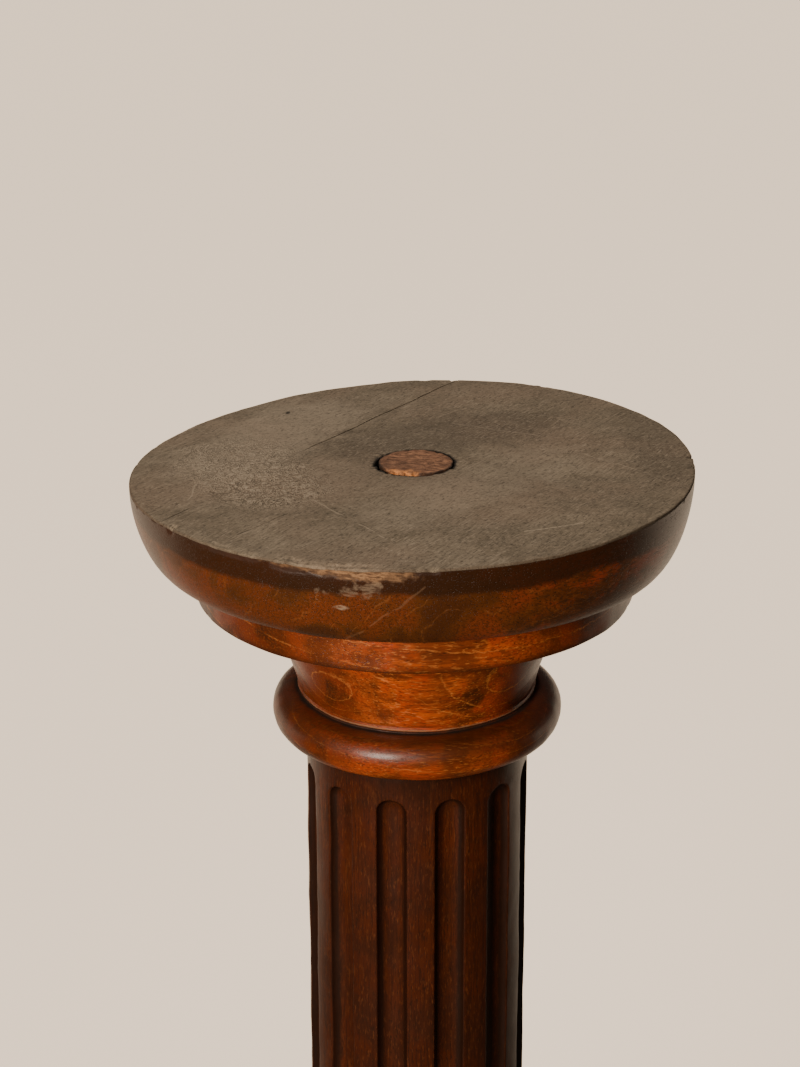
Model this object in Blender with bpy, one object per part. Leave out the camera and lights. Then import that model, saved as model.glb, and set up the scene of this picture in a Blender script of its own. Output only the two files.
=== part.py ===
"""A turned wooden pedestal column with a fluted shaft, a moulded round top and a round foot.

Units are metres and +Z is up. The column stands on z = 0, with its axis on the Z axis.
"""
import math

import bmesh
import bpy

# Driving dimensions. The height is that of the round top, below the end of the tenon
COLUMN_HEIGHT = 1.000

TOP_DISC_DIAMETER = 0.290
TOP_DISC_FOOT_DIAMETER = 0.2615
TOP_DISC_THICKNESS = 0.0437
TOP_DISC_BAND = 0.0039
# The top's back-left board has sunk away from the others, more towards its edge
SUNK_EDGE_DROP = 0.0070
GRAIN_ANGLE = math.radians(54)

LOWER_DISC_DIAMETER = 0.228
LOWER_DISC_THICKNESS = 0.0232
NECK_TOP_DIAMETER = 0.1625
NECK_FOOT_DIAMETER = 0.126
NECK_HEIGHT = 0.0568
NECK_UPRIGHT = 0.010
ASTRAGAL_DIAMETER = 0.1545
ASTRAGAL_HEIGHT = 0.024

SHAFT_TOP_DIAMETER = 0.1188
SHAFT_FOOT_DIAMETER = 0.124
FLUTE_COUNT = 12
FLUTE_WIDTH = 0.0162
FLUTE_DEPTH = 0.0048
FLUTE_STOP = 0.0165
FLUTE_TURN = math.radians(-103.5)

TENON_DIAMETER = 0.0385
TENON_CLEARANCE = 0.0007
TENON_PROUD = 0.0025
FOOT_TENON_RECESS = 0.0010

BASE_BEAD_DIAMETER = 0.162
BASE_BEAD_HEIGHT = 0.026
BASE_NECK_TOP_DIAMETER = 0.132
BASE_NECK_FOOT_DIAMETER = 0.176
BASE_NECK_HEIGHT = 0.050
BASE_NECK_UPRIGHT = 0.010
BASE_STEP_DIAMETER = 0.240
BASE_STEP_THICKNESS = 0.024

FOOT_DISC_DIAMETER = 0.306
FOOT_DISC_TOP_DIAMETER = 0.276
FOOT_DISC_THICKNESS = 0.046
FOOT_DISC_BAND = 0.010

# Shape of the quarter-round edges: 2 is a true ellipse, less is a flatter curve
OVOLO_FULLNESS = 1.68

# Gap between two pieces that sit on each other
SEAT_GAP = 0.0003

# Number of facets
TURNED_SIDES = 56
OVOLO_STEPS = 7
NECK_STEPS = 6
BEAD_STEPS = 8
TOP_STEPS = 3
FLUTE_STEPS = 5
FILLET_STEPS = 2
FLUTE_END_STEPS = 4

# Finishes
TOP_COLOUR = (0.115, 0.082, 0.058, 1.0)
TOP_ROUGHNESS = 0.75
CAPITAL_COLOUR = (0.190, 0.055, 0.016, 1.0)
SHAFT_COLOUR = (0.080, 0.026, 0.012, 1.0)
BASE_COLOUR = (0.120, 0.036, 0.014, 1.0)
VARNISH_ROUGHNESS = 0.35

# Heights worked out from the dimensions
TOP_DISC_BOTTOM = COLUMN_HEIGHT - TOP_DISC_THICKNESS
CAPITAL_TOP = TOP_DISC_BOTTOM - SEAT_GAP
NECK_TOP = CAPITAL_TOP - LOWER_DISC_THICKNESS
ASTRAGAL_TOP = NECK_TOP - NECK_HEIGHT
CAPITAL_BOTTOM = ASTRAGAL_TOP - ASTRAGAL_HEIGHT
SHAFT_TOP = CAPITAL_BOTTOM - SEAT_GAP
BASE_BOTTOM = FOOT_DISC_THICKNESS + SEAT_GAP
BASE_NECK_FOOT = BASE_BOTTOM + BASE_STEP_THICKNESS
BASE_BEAD_BOTTOM = BASE_NECK_FOOT + BASE_NECK_HEIGHT
BASE_TOP = BASE_BEAD_BOTTOM + BASE_BEAD_HEIGHT
SHAFT_FOOT = BASE_TOP + SEAT_GAP

BORE_RADIUS = TENON_DIAMETER / 2 + TENON_CLEARANCE


def clear_scene():
    """Removes the objects that a new file starts with."""
    for thing in list(bpy.data.objects):
        bpy.data.objects.remove(thing, do_unlink=True)


def wood_material(name, colour, roughness):
    """Returns a plain Principled material."""
    material = bpy.data.materials.new(name)
    material.use_nodes = True
    shader = material.node_tree.nodes["Principled BSDF"]
    shader.inputs["Base Color"].default_value = colour
    shader.inputs["Roughness"].default_value = roughness
    shader.inputs["Metallic"].default_value = 0.0
    return material


def ovolo(wide, narrow, start, end):
    """Points of a quarter-round edge, from radius `wide` at height `start` to `narrow` at `end`."""
    points = []
    for step in range(1, OVOLO_STEPS + 1):
        angle = math.pi / 2 * step / OVOLO_STEPS
        across = math.cos(angle) ** (2 / OVOLO_FULLNESS) if step < OVOLO_STEPS else 0.0
        along = math.sin(angle) ** (2 / OVOLO_FULLNESS)
        points.append((narrow + (wide - narrow) * across, start + (end - start) * along))
    return points


def flare(wide, narrow, start, end, upright):
    """Points of a neck that runs from `wide` at `start` in a curve to an upright foot, `narrow` at `end`."""
    bend = end + math.copysign(upright, start - end)
    points = []
    for step in range(NECK_STEPS + 1):
        share = step / NECK_STEPS
        first = (1 - share) ** 2
        middle = 2 * share * (1 - share)
        last = share ** 2
        points.append(((first * wide) + (middle + last) * narrow, first * start + middle * bend + last * end))
    return points


def bead(diameter, top, bottom):
    """Points of a half-round moulding, from its top to its bottom."""
    section = (top - bottom) / 2
    middle = (top + bottom) / 2
    points = []
    for step in range(BEAD_STEPS + 1):
        angle = math.pi / 2 - math.pi * step / BEAD_STEPS
        points.append((diameter / 2 - section + section * math.cos(angle), middle + section * math.sin(angle)))
    return points


def rings_to_mesh(name, rings, closed):
    """Makes a mesh from rings of points. `closed` joins the last ring to the first one."""
    shape = bmesh.new()
    loops = [[shape.verts.new(point) for point in ring] for ring in rings]
    pairs = list(zip(loops, loops[1:] + loops[:1])) if closed else list(zip(loops, loops[1:]))
    for upper, lower in pairs:
        count = len(upper)
        for index in range(count):
            following = (index + 1) % count
            shape.faces.new((upper[index], lower[index], lower[following], upper[following]))
    if not closed:
        shape.faces.new(loops[0])
        shape.faces.new(list(reversed(loops[-1])))
    bmesh.ops.remove_doubles(shape, verts=shape.verts, dist=0.00001)
    bmesh.ops.recalc_face_normals(shape, faces=shape.faces)
    mesh = bpy.data.meshes.new(name)
    shape.to_mesh(mesh)
    shape.free()
    mesh.shade_smooth()
    mesh.set_sharp_from_angle(angle=math.radians(35))
    return mesh


def add_object(name, mesh, material):
    """Adds a mesh to the scene as one named piece."""
    mesh.materials.append(material)
    piece = bpy.data.objects.new(name, mesh)
    bpy.context.scene.collection.objects.link(piece)
    return piece


def turned_mesh(name, profile):
    """Turns a closed profile of radius and height about the Z axis."""
    rings = []
    for radius, height in profile:
        ring = []
        for side in range(TURNED_SIDES):
            angle = 2 * math.pi * side / TURNED_SIDES
            ring.append((radius * math.cos(angle), radius * math.sin(angle), height))
        rings.append(ring)
    return rings_to_mesh(name, rings, closed=True)


def turned_piece(name, outline, material):
    """Turns an outline, with the tenon's bore through its middle."""
    top = outline[0][1]
    bottom = outline[-1][1]
    profile = outline + [(BORE_RADIUS, bottom), (BORE_RADIUS, top)]
    return add_object(name, turned_mesh(name, profile), material)


def sunk(point):
    """A point of the top disc, moved down by what the back-left board has sunk there."""
    rim = TOP_DISC_DIAMETER / 2
    beyond = max(point.y * math.cos(GRAIN_ANGLE) - point.x * math.sin(GRAIN_ANGLE), 0.0)
    height_share = (point.z - TOP_DISC_BOTTOM) / TOP_DISC_THICKNESS
    return point.z - SUNK_EDGE_DROP * height_share * (beyond / rim) ** 2


def make_top_disc(material):
    """The moulded round top, whose back-left board has sunk."""
    rim = TOP_DISC_DIAMETER / 2
    foot = TOP_DISC_FOOT_DIAMETER / 2
    band = COLUMN_HEIGHT - TOP_DISC_BAND
    outline = []
    for step in range(TOP_STEPS + 1):
        radius = BORE_RADIUS + (rim - BORE_RADIUS) * step / TOP_STEPS
        outline.append((radius, COLUMN_HEIGHT))
    outline += [(rim, band)] + ovolo(rim, foot, band, TOP_DISC_BOTTOM) + [(BORE_RADIUS, TOP_DISC_BOTTOM)]
    disc = add_object("top_disc", turned_mesh("top_disc", outline), material)
    for vertex in disc.data.vertices:
        vertex.co.z = sunk(vertex.co)
    return disc


def make_capital_block(material):
    """The lower disc, the flared neck and the astragal, turned from one block."""
    disc = LOWER_DISC_DIAMETER / 2
    outline = [(disc, CAPITAL_TOP), (disc, NECK_TOP)]
    outline += flare(NECK_TOP_DIAMETER / 2, NECK_FOOT_DIAMETER / 2, NECK_TOP, ASTRAGAL_TOP, NECK_UPRIGHT)
    outline += bead(ASTRAGAL_DIAMETER, ASTRAGAL_TOP, CAPITAL_BOTTOM)
    return turned_piece("capital_block", outline, material)


def make_base_block(material):
    """The bead, the cove and the step under the shaft, turned from one block."""
    step = BASE_STEP_DIAMETER / 2
    wide = BASE_NECK_FOOT_DIAMETER / 2
    narrow = BASE_NECK_TOP_DIAMETER / 2
    outline = bead(BASE_BEAD_DIAMETER, BASE_TOP, BASE_BEAD_BOTTOM)
    outline += reversed(flare(wide, narrow, BASE_NECK_FOOT, BASE_BEAD_BOTTOM, BASE_NECK_UPRIGHT))
    outline += [(step, BASE_NECK_FOOT), (step, BASE_BOTTOM)]
    return turned_piece("base_block", outline, material)


def make_foot_disc(material):
    """The moulded round foot."""
    rim = FOOT_DISC_DIAMETER / 2
    outline = list(reversed(ovolo(rim, FOOT_DISC_TOP_DIAMETER / 2, FOOT_DISC_BAND, FOOT_DISC_THICKNESS)))
    outline += [(rim, FOOT_DISC_BAND), (rim, 0.0)]
    return turned_piece("foot_disc", outline, material)


def shaft_radius(height):
    """Radius of the plain shaft at a height."""
    share = (height - SHAFT_FOOT) / (SHAFT_TOP - SHAFT_FOOT)
    return (SHAFT_FOOT_DIAMETER + (SHAFT_TOP_DIAMETER - SHAFT_FOOT_DIAMETER) * share) / 2


def flute_cut(across, along):
    """Depth of a flute, from the distance to its middle line and how far past its straight part it is."""
    half = FLUTE_WIDTH / 2
    sweep = (half ** 2 + FLUTE_DEPTH ** 2) / (2 * FLUTE_DEPTH)
    away = min(math.hypot(across, along), half)
    return math.sqrt(sweep ** 2 - away ** 2) - (sweep - FLUTE_DEPTH)


def shaft_ring(height, past):
    """One ring of the shaft. `past` is how far beyond the flutes' straight part it lies."""
    radius = shaft_radius(height)
    half = FLUTE_WIDTH / 2
    pitch = 2 * math.pi / FLUTE_COUNT
    reach = math.sqrt(max(half ** 2 - past ** 2, 0.0))
    ring = []
    for flute in range(FLUTE_COUNT):
        middle = FLUTE_TURN + pitch * flute
        edge = math.asin(reach / radius)
        for step in range(FLUTE_STEPS + 1):
            side = 2 * step / FLUTE_STEPS - 1
            angle = middle + edge * side
            depth = flute_cut(reach * side, past)
            ring.append(((radius - depth) * math.cos(angle), (radius - depth) * math.sin(angle), height))
        for step in range(1, FILLET_STEPS):
            angle = middle + edge + (pitch - 2 * edge) * step / FILLET_STEPS
            ring.append((radius * math.cos(angle), radius * math.sin(angle), height))
    return ring


def round_ring(radius, height, like):
    """A plain round ring with a point straight in line with each point of another ring."""
    ring = []
    for x, y, _ in like:
        angle = math.atan2(y, x)
        ring.append((radius * math.cos(angle), radius * math.sin(angle), height))
    return ring


def make_fluted_shaft(material):
    """The fluted shaft, with a tenon at each end."""
    half = FLUTE_WIDTH / 2
    straight_top = SHAFT_TOP - FLUTE_STOP - half
    straight_foot = SHAFT_FOOT + FLUTE_STOP + half
    levels = []
    for step in range(FLUTE_END_STEPS + 1):
        past = half * math.cos(math.pi / 2 * step / FLUTE_END_STEPS)
        levels.append((straight_top + past, past))
    levels += [(straight_top + straight_foot - height, past) for height, past in reversed(levels)]
    fluted = [shaft_ring(height, past) for height, past in levels]
    pattern = shaft_ring(straight_top, 0.0)
    tenon = TENON_DIAMETER / 2
    rings = [round_ring(tenon, COLUMN_HEIGHT + TENON_PROUD, pattern)]
    rings.append(round_ring(tenon, SHAFT_TOP, pattern))
    rings.append(round_ring(shaft_radius(SHAFT_TOP), SHAFT_TOP, pattern))
    rings += fluted
    rings.append(round_ring(shaft_radius(SHAFT_FOOT), SHAFT_FOOT, pattern))
    rings.append(round_ring(tenon, SHAFT_FOOT, pattern))
    rings.append(round_ring(tenon, FOOT_TENON_RECESS, pattern))
    return add_object("fluted_shaft", rings_to_mesh("fluted_shaft", rings, closed=False), material)


def main():
    """Builds the column."""
    clear_scene()
    make_top_disc(wood_material("top_wood", TOP_COLOUR, TOP_ROUGHNESS))
    make_capital_block(wood_material("capital_wood", CAPITAL_COLOUR, VARNISH_ROUGHNESS))
    make_fluted_shaft(wood_material("shaft_wood", SHAFT_COLOUR, VARNISH_ROUGHNESS))
    make_base_block(wood_material("base_wood", BASE_COLOUR, VARNISH_ROUGHNESS))
    make_foot_disc(wood_material("foot_wood", BASE_COLOUR, VARNISH_ROUGHNESS))


main()
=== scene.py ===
"""The looks of a turned wooden pedestal column, as finely carved meshes with wood materials.

It has a worn round top, a varnished capital, a fluted shaft, a moulded base and a round foot.
Units are metres, +Z is up and the column's axis is the Z axis.
"""
import enum
import logging
import math
from dataclasses import dataclass
from typing import ClassVar, Mapping, Optional, Sequence, Union

import bmesh
import bpy
import numpy as np
from mathutils import Matrix, Vector


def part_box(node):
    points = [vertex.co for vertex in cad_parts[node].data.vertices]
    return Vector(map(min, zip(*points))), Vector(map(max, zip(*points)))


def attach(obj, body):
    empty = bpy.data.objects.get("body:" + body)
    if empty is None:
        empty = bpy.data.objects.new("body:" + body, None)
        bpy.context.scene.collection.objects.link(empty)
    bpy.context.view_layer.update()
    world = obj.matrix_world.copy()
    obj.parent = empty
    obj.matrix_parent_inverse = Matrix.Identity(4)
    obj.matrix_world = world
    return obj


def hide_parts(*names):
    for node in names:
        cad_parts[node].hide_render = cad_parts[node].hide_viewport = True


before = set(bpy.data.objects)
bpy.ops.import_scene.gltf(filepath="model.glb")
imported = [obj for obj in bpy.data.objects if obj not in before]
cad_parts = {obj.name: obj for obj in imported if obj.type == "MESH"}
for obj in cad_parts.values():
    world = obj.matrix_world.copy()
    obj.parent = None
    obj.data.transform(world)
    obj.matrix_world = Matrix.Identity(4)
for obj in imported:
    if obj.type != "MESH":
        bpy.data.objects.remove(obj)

log = logging.getLogger("column")

Socket = bpy.types.NodeSocket
Source = Union[Socket, float, Sequence[float]]
Colour = tuple[float, float, float]
Pair = tuple[float, float]
Point = tuple[float, float, float]

ORIGIN = (0.0, 0.0, 0.0)

# The tenon that joins the pieces, and its clearance in their bores
TENON_RADIUS = 0.01925
BORE_RADIUS = TENON_RADIUS + 0.0007
# What lies closer to the axis than this is the wall of a bore
BORE_WALL = BORE_RADIUS + 0.001
# How far from the bore a turned piece has come to stand off the axis
SETTLED_REACH = 0.030
# Direction of the joint between the top's two boards, which is also that of their grain
BOARD_ANGLE = math.radians(54.6)
# Less than 2 makes the quarter-round edges flatter than an ellipse
OVOLO_FULLNESS = 1.68
# Length and height of the ripples that turning leaves
TURNED_RIPPLES = ((0.050, 0.00016), (0.013, 0.00005))
# What a mesh says about its wood at each point; worn also carries painted highlights, dirt and stain also
# carry painted shade
STATES = ("bare", "worn", "dirt", "stain")


class Kind(enum.Enum):
    """What a socket of a node group carries."""

    VALUE = "NodeSocketFloat"
    VECTOR = "NodeSocketVector"


class Lay(enum.Enum):
    """The direction in which the fibres of a piece run."""

    BOARD = (math.cos(BOARD_ANGLE), math.sin(BOARD_ANGLE), 0.0)
    BLOCK = (0.996, 0.087, 0.0)
    UPRIGHT = (0.0, 0.0, 1.0)


def smooth(value: np.ndarray, low: float, high: float) -> np.ndarray:
    """Returns 0 at `low` and 1 at `high`, with a soft start and end."""
    share = np.clip((value - low) / (high - low), 0.0, 1.0)
    return share * share * (3 - 2 * share)


def ripples(points: np.ndarray, length: float, seed: int) -> np.ndarray:
    """Returns a smooth random field that is about 1 high.

    Args:
        points: Places, with their three coordinates in the last axis.
        length: About how far apart the field's bumps are.
        seed: Picks one field.

    Returns:
        One value for each place, mostly from -1.5 to 1.5.
    """
    waves = 22
    draw = np.random.default_rng(seed)
    heading = draw.normal(size=(waves, 3))
    heading /= np.linalg.norm(heading, axis=1)[:, None]
    turns = heading * (2 * math.pi / length) * draw.uniform(0.6, 1.4, waves)[:, None]
    starts = draw.uniform(0, 2 * math.pi, waves)
    return np.cos(points @ turns.T + starts).sum(-1) / math.sqrt(waves / 2)


def ovolo(wide: float, narrow: float, start: float, end: float) -> list[Pair]:
    """Makes a quarter-round edge.

    Args:
        wide: Radius at its wide side.
        narrow: Radius at its narrow side.
        start: Height of its wide side.
        end: Height of its narrow side.

    Returns:
        Radius and height of its points, from the wide side on.
    """
    steps = 26
    points = []
    for step in range(1, steps + 1):
        angle = math.pi / 2 * step / steps
        across = math.cos(angle) ** (2 / OVOLO_FULLNESS) if step < steps else 0.0
        along = math.sin(angle) ** (2 / OVOLO_FULLNESS)
        points.append((narrow + (wide - narrow) * across, start + (end - start) * along))
    return points


def flare(wide: float, narrow: float, start: float, end: float, upright: float) -> list[Pair]:
    """Makes a neck that curves to an upright end.

    Args:
        wide: Radius at its wide end.
        narrow: Radius at its upright end.
        start: Height of its wide end.
        end: Height of its upright end.
        upright: How far from the end the curve turns upright.

    Returns:
        Radius and height of its points, from the wide end on.
    """
    steps = 30
    bend = end + math.copysign(upright, start - end)
    points = []
    for step in range(steps + 1):
        share = step / steps
        first, middle, last = (1 - share) ** 2, 2 * share * (1 - share), share ** 2
        points.append((first * wide + (middle + last) * narrow, first * start + middle * bend + last * end))
    return points


def bead(radius: float, top: float, bottom: float) -> list[Pair]:
    """Makes a half-round moulding.

    Args:
        radius: Its outer radius.
        top: Height of its upper side.
        bottom: Height of its lower side.

    Returns:
        Radius and height of its points, from the top down.
    """
    steps = 32
    section = (top - bottom) / 2
    middle = (top + bottom) / 2
    points = []
    for step in range(steps + 1):
        angle = math.pi / 2 - math.pi * step / steps
        points.append((radius - section + section * math.cos(angle), middle + section * math.sin(angle)))
    return points


@dataclass(frozen=True)
class Outline:
    """The closed outline of a turned piece, clockwise from the top of its bore.

    Attributes:
        points: Radius and height of each point, one row each.
    """

    points: np.ndarray

    @classmethod
    def through(cls, points: Sequence[Pair]) -> "Outline":
        """Returns the outline through the given points."""
        return cls(np.array(points, float))

    @property
    def radius(self) -> np.ndarray:
        """The radius of each point."""
        return self.points[:, 0]

    @property
    def height(self) -> np.ndarray:
        """The height of each point."""
        return self.points[:, 1]

    def evened(self, spacing: float) -> "Outline":
        """Spreads the points evenly.

        Args:
            spacing: About how far apart the points come to lie.

        Returns:
            The same outline with points the same distance apart.
        """
        closed = np.vstack([self.points, self.points[:1]])
        walk = np.concatenate([[0.0], np.cumsum(np.linalg.norm(np.diff(closed, axis=0), axis=1))])
        count = int(round(walk[-1] / spacing))
        where = np.arange(count) * walk[-1] / count
        return Outline(np.stack([np.interp(where, walk, closed[:, axis]) for axis in (0, 1)], axis=1))

    def softened(self, radius: float) -> "Outline":
        """Rubs the corners.

        Args:
            radius: About the radius that a corner gets.

        Returns:
            The softened outline.
        """
        spacing = 0.0002
        points = self.evened(spacing).points
        reach = max(int(radius * 0.8 / spacing), 1)
        for _ in range(2):
            points = np.mean([np.roll(points, shift, axis=0) for shift in range(-reach, reach + 1)], axis=0)
        return Outline(points)

    def thinned(self, longest: np.ndarray) -> "Outline":
        """Thins the outline to the points that its shape needs.

        Args:
            longest: The greatest distance to the next point, at each point.

        Returns:
            The thinned outline.
        """
        bend = math.radians(9)
        points = self.points
        ahead = np.roll(points, -1, axis=0) - points
        heading = np.unwrap(np.arctan2(ahead[:, 1], ahead[:, 0]))
        kept = [0]
        for index in range(1, len(points)):
            last = kept[-1]
            gone = float(np.linalg.norm(points[index] - points[last]))
            if gone >= longest[index] or abs(heading[index] - heading[last]) >= bend:
                kept.append(index)
        return Outline(points[kept])

    def curvature(self) -> np.ndarray:
        """Measures how sharply the outline bends.

        Returns:
            The curvature at each point, positive on outer edges and negative in hollows.
        """
        before = self.points - np.roll(self.points, 1, axis=0)
        after = np.roll(self.points, -1, axis=0) - self.points
        cross = before[:, 0] * after[:, 1] - before[:, 1] * after[:, 0]
        turn = np.arctan2(cross, (before * after).sum(1))
        span = (np.linalg.norm(before, axis=1) + np.linalg.norm(after, axis=1)) / 2
        return -turn / np.maximum(span, 1e-6)


@dataclass
class Skin:
    """A piece's surface, as rings of points with the state of the wood at each point.

    Attributes:
        points: Rings, sides and the three coordinates.
        bare: 1 where the wood has no varnish.
        worn: 1 where an edge is rubbed down to pale wood, and where a highlight is painted on an edge.
        dirt: 1 where dirt sits in a hollow, and where shade is painted into a groove or gap.
        stain: 1 where the stain is thick and dark, and where shade is painted on as dark stain.
    """

    points: np.ndarray
    bare: np.ndarray
    worn: np.ndarray
    dirt: np.ndarray
    stain: np.ndarray

    @classmethod
    def turned(cls, outline: Outline, sides: int) -> "Skin":
        """Turns an outline about the axis.

        Args:
            outline: The closed outline.
            sides: The number of points in each ring.

        Returns:
            The skin, worn on its outer edges and dirty in its hollows.
        """
        angle = np.arange(sides) * 2 * math.pi / sides
        radius, height = outline.radius[:, None], outline.height[:, None]
        flat = np.ones_like(angle)
        points = np.stack([radius * np.cos(angle), radius * np.sin(angle), height * flat], axis=-1)
        rubbed_radius = 0.0009
        curve = outline.curvature()[:, None] * flat
        worn = np.clip(curve * rubbed_radius, 0.0, 1.0)
        dirt = np.clip(-curve * rubbed_radius * 2, 0.0, 1.0)
        return cls(points, np.zeros_like(worn), worn, dirt, np.zeros_like(worn))

    @property
    def radius(self) -> np.ndarray:
        """The distance of each point from the axis."""
        return np.hypot(self.points[..., 0], self.points[..., 1])

    @property
    def azimuth(self) -> np.ndarray:
        """The direction of each point from the axis, in radians."""
        return np.arctan2(self.points[..., 1], self.points[..., 0])

    @property
    def height(self) -> np.ndarray:
        """The height of each point."""
        return self.points[..., 2]

    def move_out(self, amount: np.ndarray) -> None:
        """Moves the points away from the axis.

        Args:
            amount: How far each point moves.
        """
        angle = self.azimuth
        self.points[..., 0] += amount * np.cos(angle)
        self.points[..., 1] += amount * np.sin(angle)

    def shift(self, inner: float, outer: float, share: Union[np.ndarray, float]) -> None:
        """Moves the points along X, by `inner` at the bore and `outer` well away from it."""
        outward = smooth(self.radius, BORE_RADIUS, BORE_RADIUS + SETTLED_REACH)
        self.points[..., 0] += (inner + (outer - inner) * outward) * share

    def at_least(self, state: str, amount: np.ndarray) -> None:
        """Raises one of the wood's states to at least an amount."""
        field = getattr(self, state)
        field[...] = np.maximum(field, amount)

    def roughen(self, waves: Sequence[Pair], seed: int) -> None:
        """Makes the surface outside the bore slightly uneven.

        Args:
            waves: Length and height of each set of ripples.
            seed: Picks the first set. The next sets follow it.
        """
        uneven = np.zeros(self.points.shape[:2])
        for number, (length, height) in enumerate(waves):
            uneven += height * ripples(self.points, length, seed + number)
        self.move_out(uneven * (self.radius > BORE_WALL))

    def mesh(self, name: str, closed: bool) -> bpy.types.Mesh:
        """Makes a mesh of the skin.

        Args:
            name: Name of the mesh.
            closed: Whether the last ring joins the first one. If not, both ends get a cap.

        Returns:
            The mesh, with the state of the wood as attributes of its points.
        """
        rings, sides = self.points.shape[:2]
        number = np.arange(rings * sides).reshape(rings, sides)
        upper = number if closed else number[:-1]
        lower = np.roll(number, -1, axis=0) if closed else number[1:]
        quads = np.stack([upper, lower, np.roll(lower, -1, axis=1), np.roll(upper, -1, axis=1)], axis=-1)
        faces = quads.reshape(-1, 4).tolist()
        points = self.points.reshape(-1, 3).tolist()
        fields = {state: getattr(self, state) for state in STATES}
        values = {state: field.reshape(-1).tolist() for state, field in fields.items()}
        if not closed:
            for ring, order in ((0, 1), (rings - 1, -1)):
                middle = len(points)
                points.append(self.points[ring].mean(axis=0).tolist())
                for state, field in fields.items():
                    values[state].append(float(field[ring].mean()))
                edge = list(number[ring])[::order]
                faces += [(middle, int(a), int(b)) for a, b in zip(edge, edge[1:] + edge[:1])]
        made = bpy.data.meshes.new(name)
        made.from_pydata(points, [], faces)
        for state, numbers in values.items():
            made.attributes.new(state, "FLOAT", "POINT").data.foreach_set("value", numbers)
        made.validate()
        made.shade_smooth()
        return made


@dataclass(frozen=True)
class Nick:
    """A chip or rub on an edge.

    Attributes:
        azimuth: Its direction from the axis, in degrees.
        width: Its length along the edge.
        reach: How far it goes down from the edge.
        depth: How deep it is.
    """

    azimuth: float
    width: float
    reach: float
    depth: float

    def cut(self, skin: Skin, edge: Pair, seed: int) -> None:
        """Takes the chip out of a skin and marks its wood as worn.

        Args:
            skin: The piece's skin.
            edge: Radius and height of the edge.
            seed: Picks how ragged the chip is.
        """
        edge_radius, edge_height = edge
        turn = np.angle(np.exp(1j * (skin.azimuth - math.radians(self.azimuth))))
        along = np.abs(turn) * edge_radius / (self.width / 2)
        away = np.hypot(skin.radius - edge_radius, skin.height - edge_height) / self.reach
        ragged = 0.75 + 0.25 * ripples(skin.points, 0.006, seed)
        share = (1 - smooth(along, 0.55, 1.0)) * (1 - smooth(away, 0.25, 1.0)) * np.clip(ragged, 0.2, 1.2)
        skin.move_out(-0.75 * self.depth * share)
        inward = math.copysign(0.65 * self.depth, edge_height - skin.height.mean())
        skin.points[..., 2] -= inward * share
        skin.at_least("worn", np.clip(share * 1.3, 0.0, 1.0))


def small_nicks(seed: int, count: int, widths: Pair, reach: Union[float, Pair], depths: Pair) -> list[Nick]:
    """Makes nicks at random places of an edge.

    Args:
        seed: Picks the nicks.
        count: How many there are.
        widths: The least and greatest length along the edge.
        reach: How far they go down from the edge, or the least and greatest value of that.
        depths: The least and greatest depth.

    Returns:
        The nicks.
    """
    draw = np.random.default_rng(seed)
    nicks = []
    for _ in range(count):
        azimuth = draw.uniform(-180, 180)
        width = draw.uniform(*widths)
        down = reach if isinstance(reach, float) else draw.uniform(*reach)
        nicks.append(Nick(azimuth, width, down, draw.uniform(*depths)))
    return nicks


def cut_nicks(skin: Skin, nicks: Sequence[Nick], edge: Pair, seed: int) -> None:
    """Cuts nicks into an edge, given by its radius and height, each one ragged in its own way."""
    for index, nick in enumerate(nicks):
        nick.cut(skin, edge, seed + index)


@dataclass(frozen=True)
class Groove:
    """An open joint or crack in the top's face.

    Attributes:
        start: Plan position of one end.
        end: Plan position of the other end.
        width: Its width.
        depth: Its depth.
    """

    start: Pair
    end: Pair
    width: float
    depth: float

    def cut(self, shape: bmesh.types.BMesh, floor: float) -> None:
        """Cuts the groove into the faces that look up.

        Args:
            shape: The piece's mesh.
            floor: Height above which faces are cut.
        """
        start, end = Vector((*self.start, 0.0)), Vector((*self.end, 0.0))
        along = (end - start).normalized()
        across = Vector((-along.y, along.x, 0.0))
        length = (end - start).length
        margin = 0.004

        def near(place: Vector) -> bool:
            """Says whether a place is close to the groove."""
            offset = place - start
            beside = abs(offset.dot(across)) < margin
            return beside and -margin / 2 < offset.dot(along) < length + margin / 2 and place.z > floor

        for side in (-0.5, 0.0, 0.5):
            faces = [face for face in shape.faces if face.normal.z > 0.5 and near(face.calc_center_median())]
            edges = {edge for face in faces for edge in face.edges}
            corners = {corner for face in faces for corner in face.verts}
            bmesh.ops.bisect_plane(
                shape,
                geom=[*faces, *edges, *corners],
                dist=1e-6,
                plane_co=start + across * (side * self.width),
                plane_no=across,
            )
        dirt = shape.verts.layers.float["dirt"]
        for corner in shape.verts:
            offset = corner.co - start
            place = offset.dot(along)
            if corner.co.z < floor or not -1e-5 < place < length + 1e-5:
                continue
            middle = 1 - abs(offset.dot(across)) / (self.width / 2)
            if middle > 0.9:
                taper = min(1.0, place / 0.02 + 0.15, (length - place) / 0.02 + 0.15)
                corner.co.z -= self.depth * taper
                corner[dirt] = max(corner[dirt], 0.9 * taper)


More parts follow.
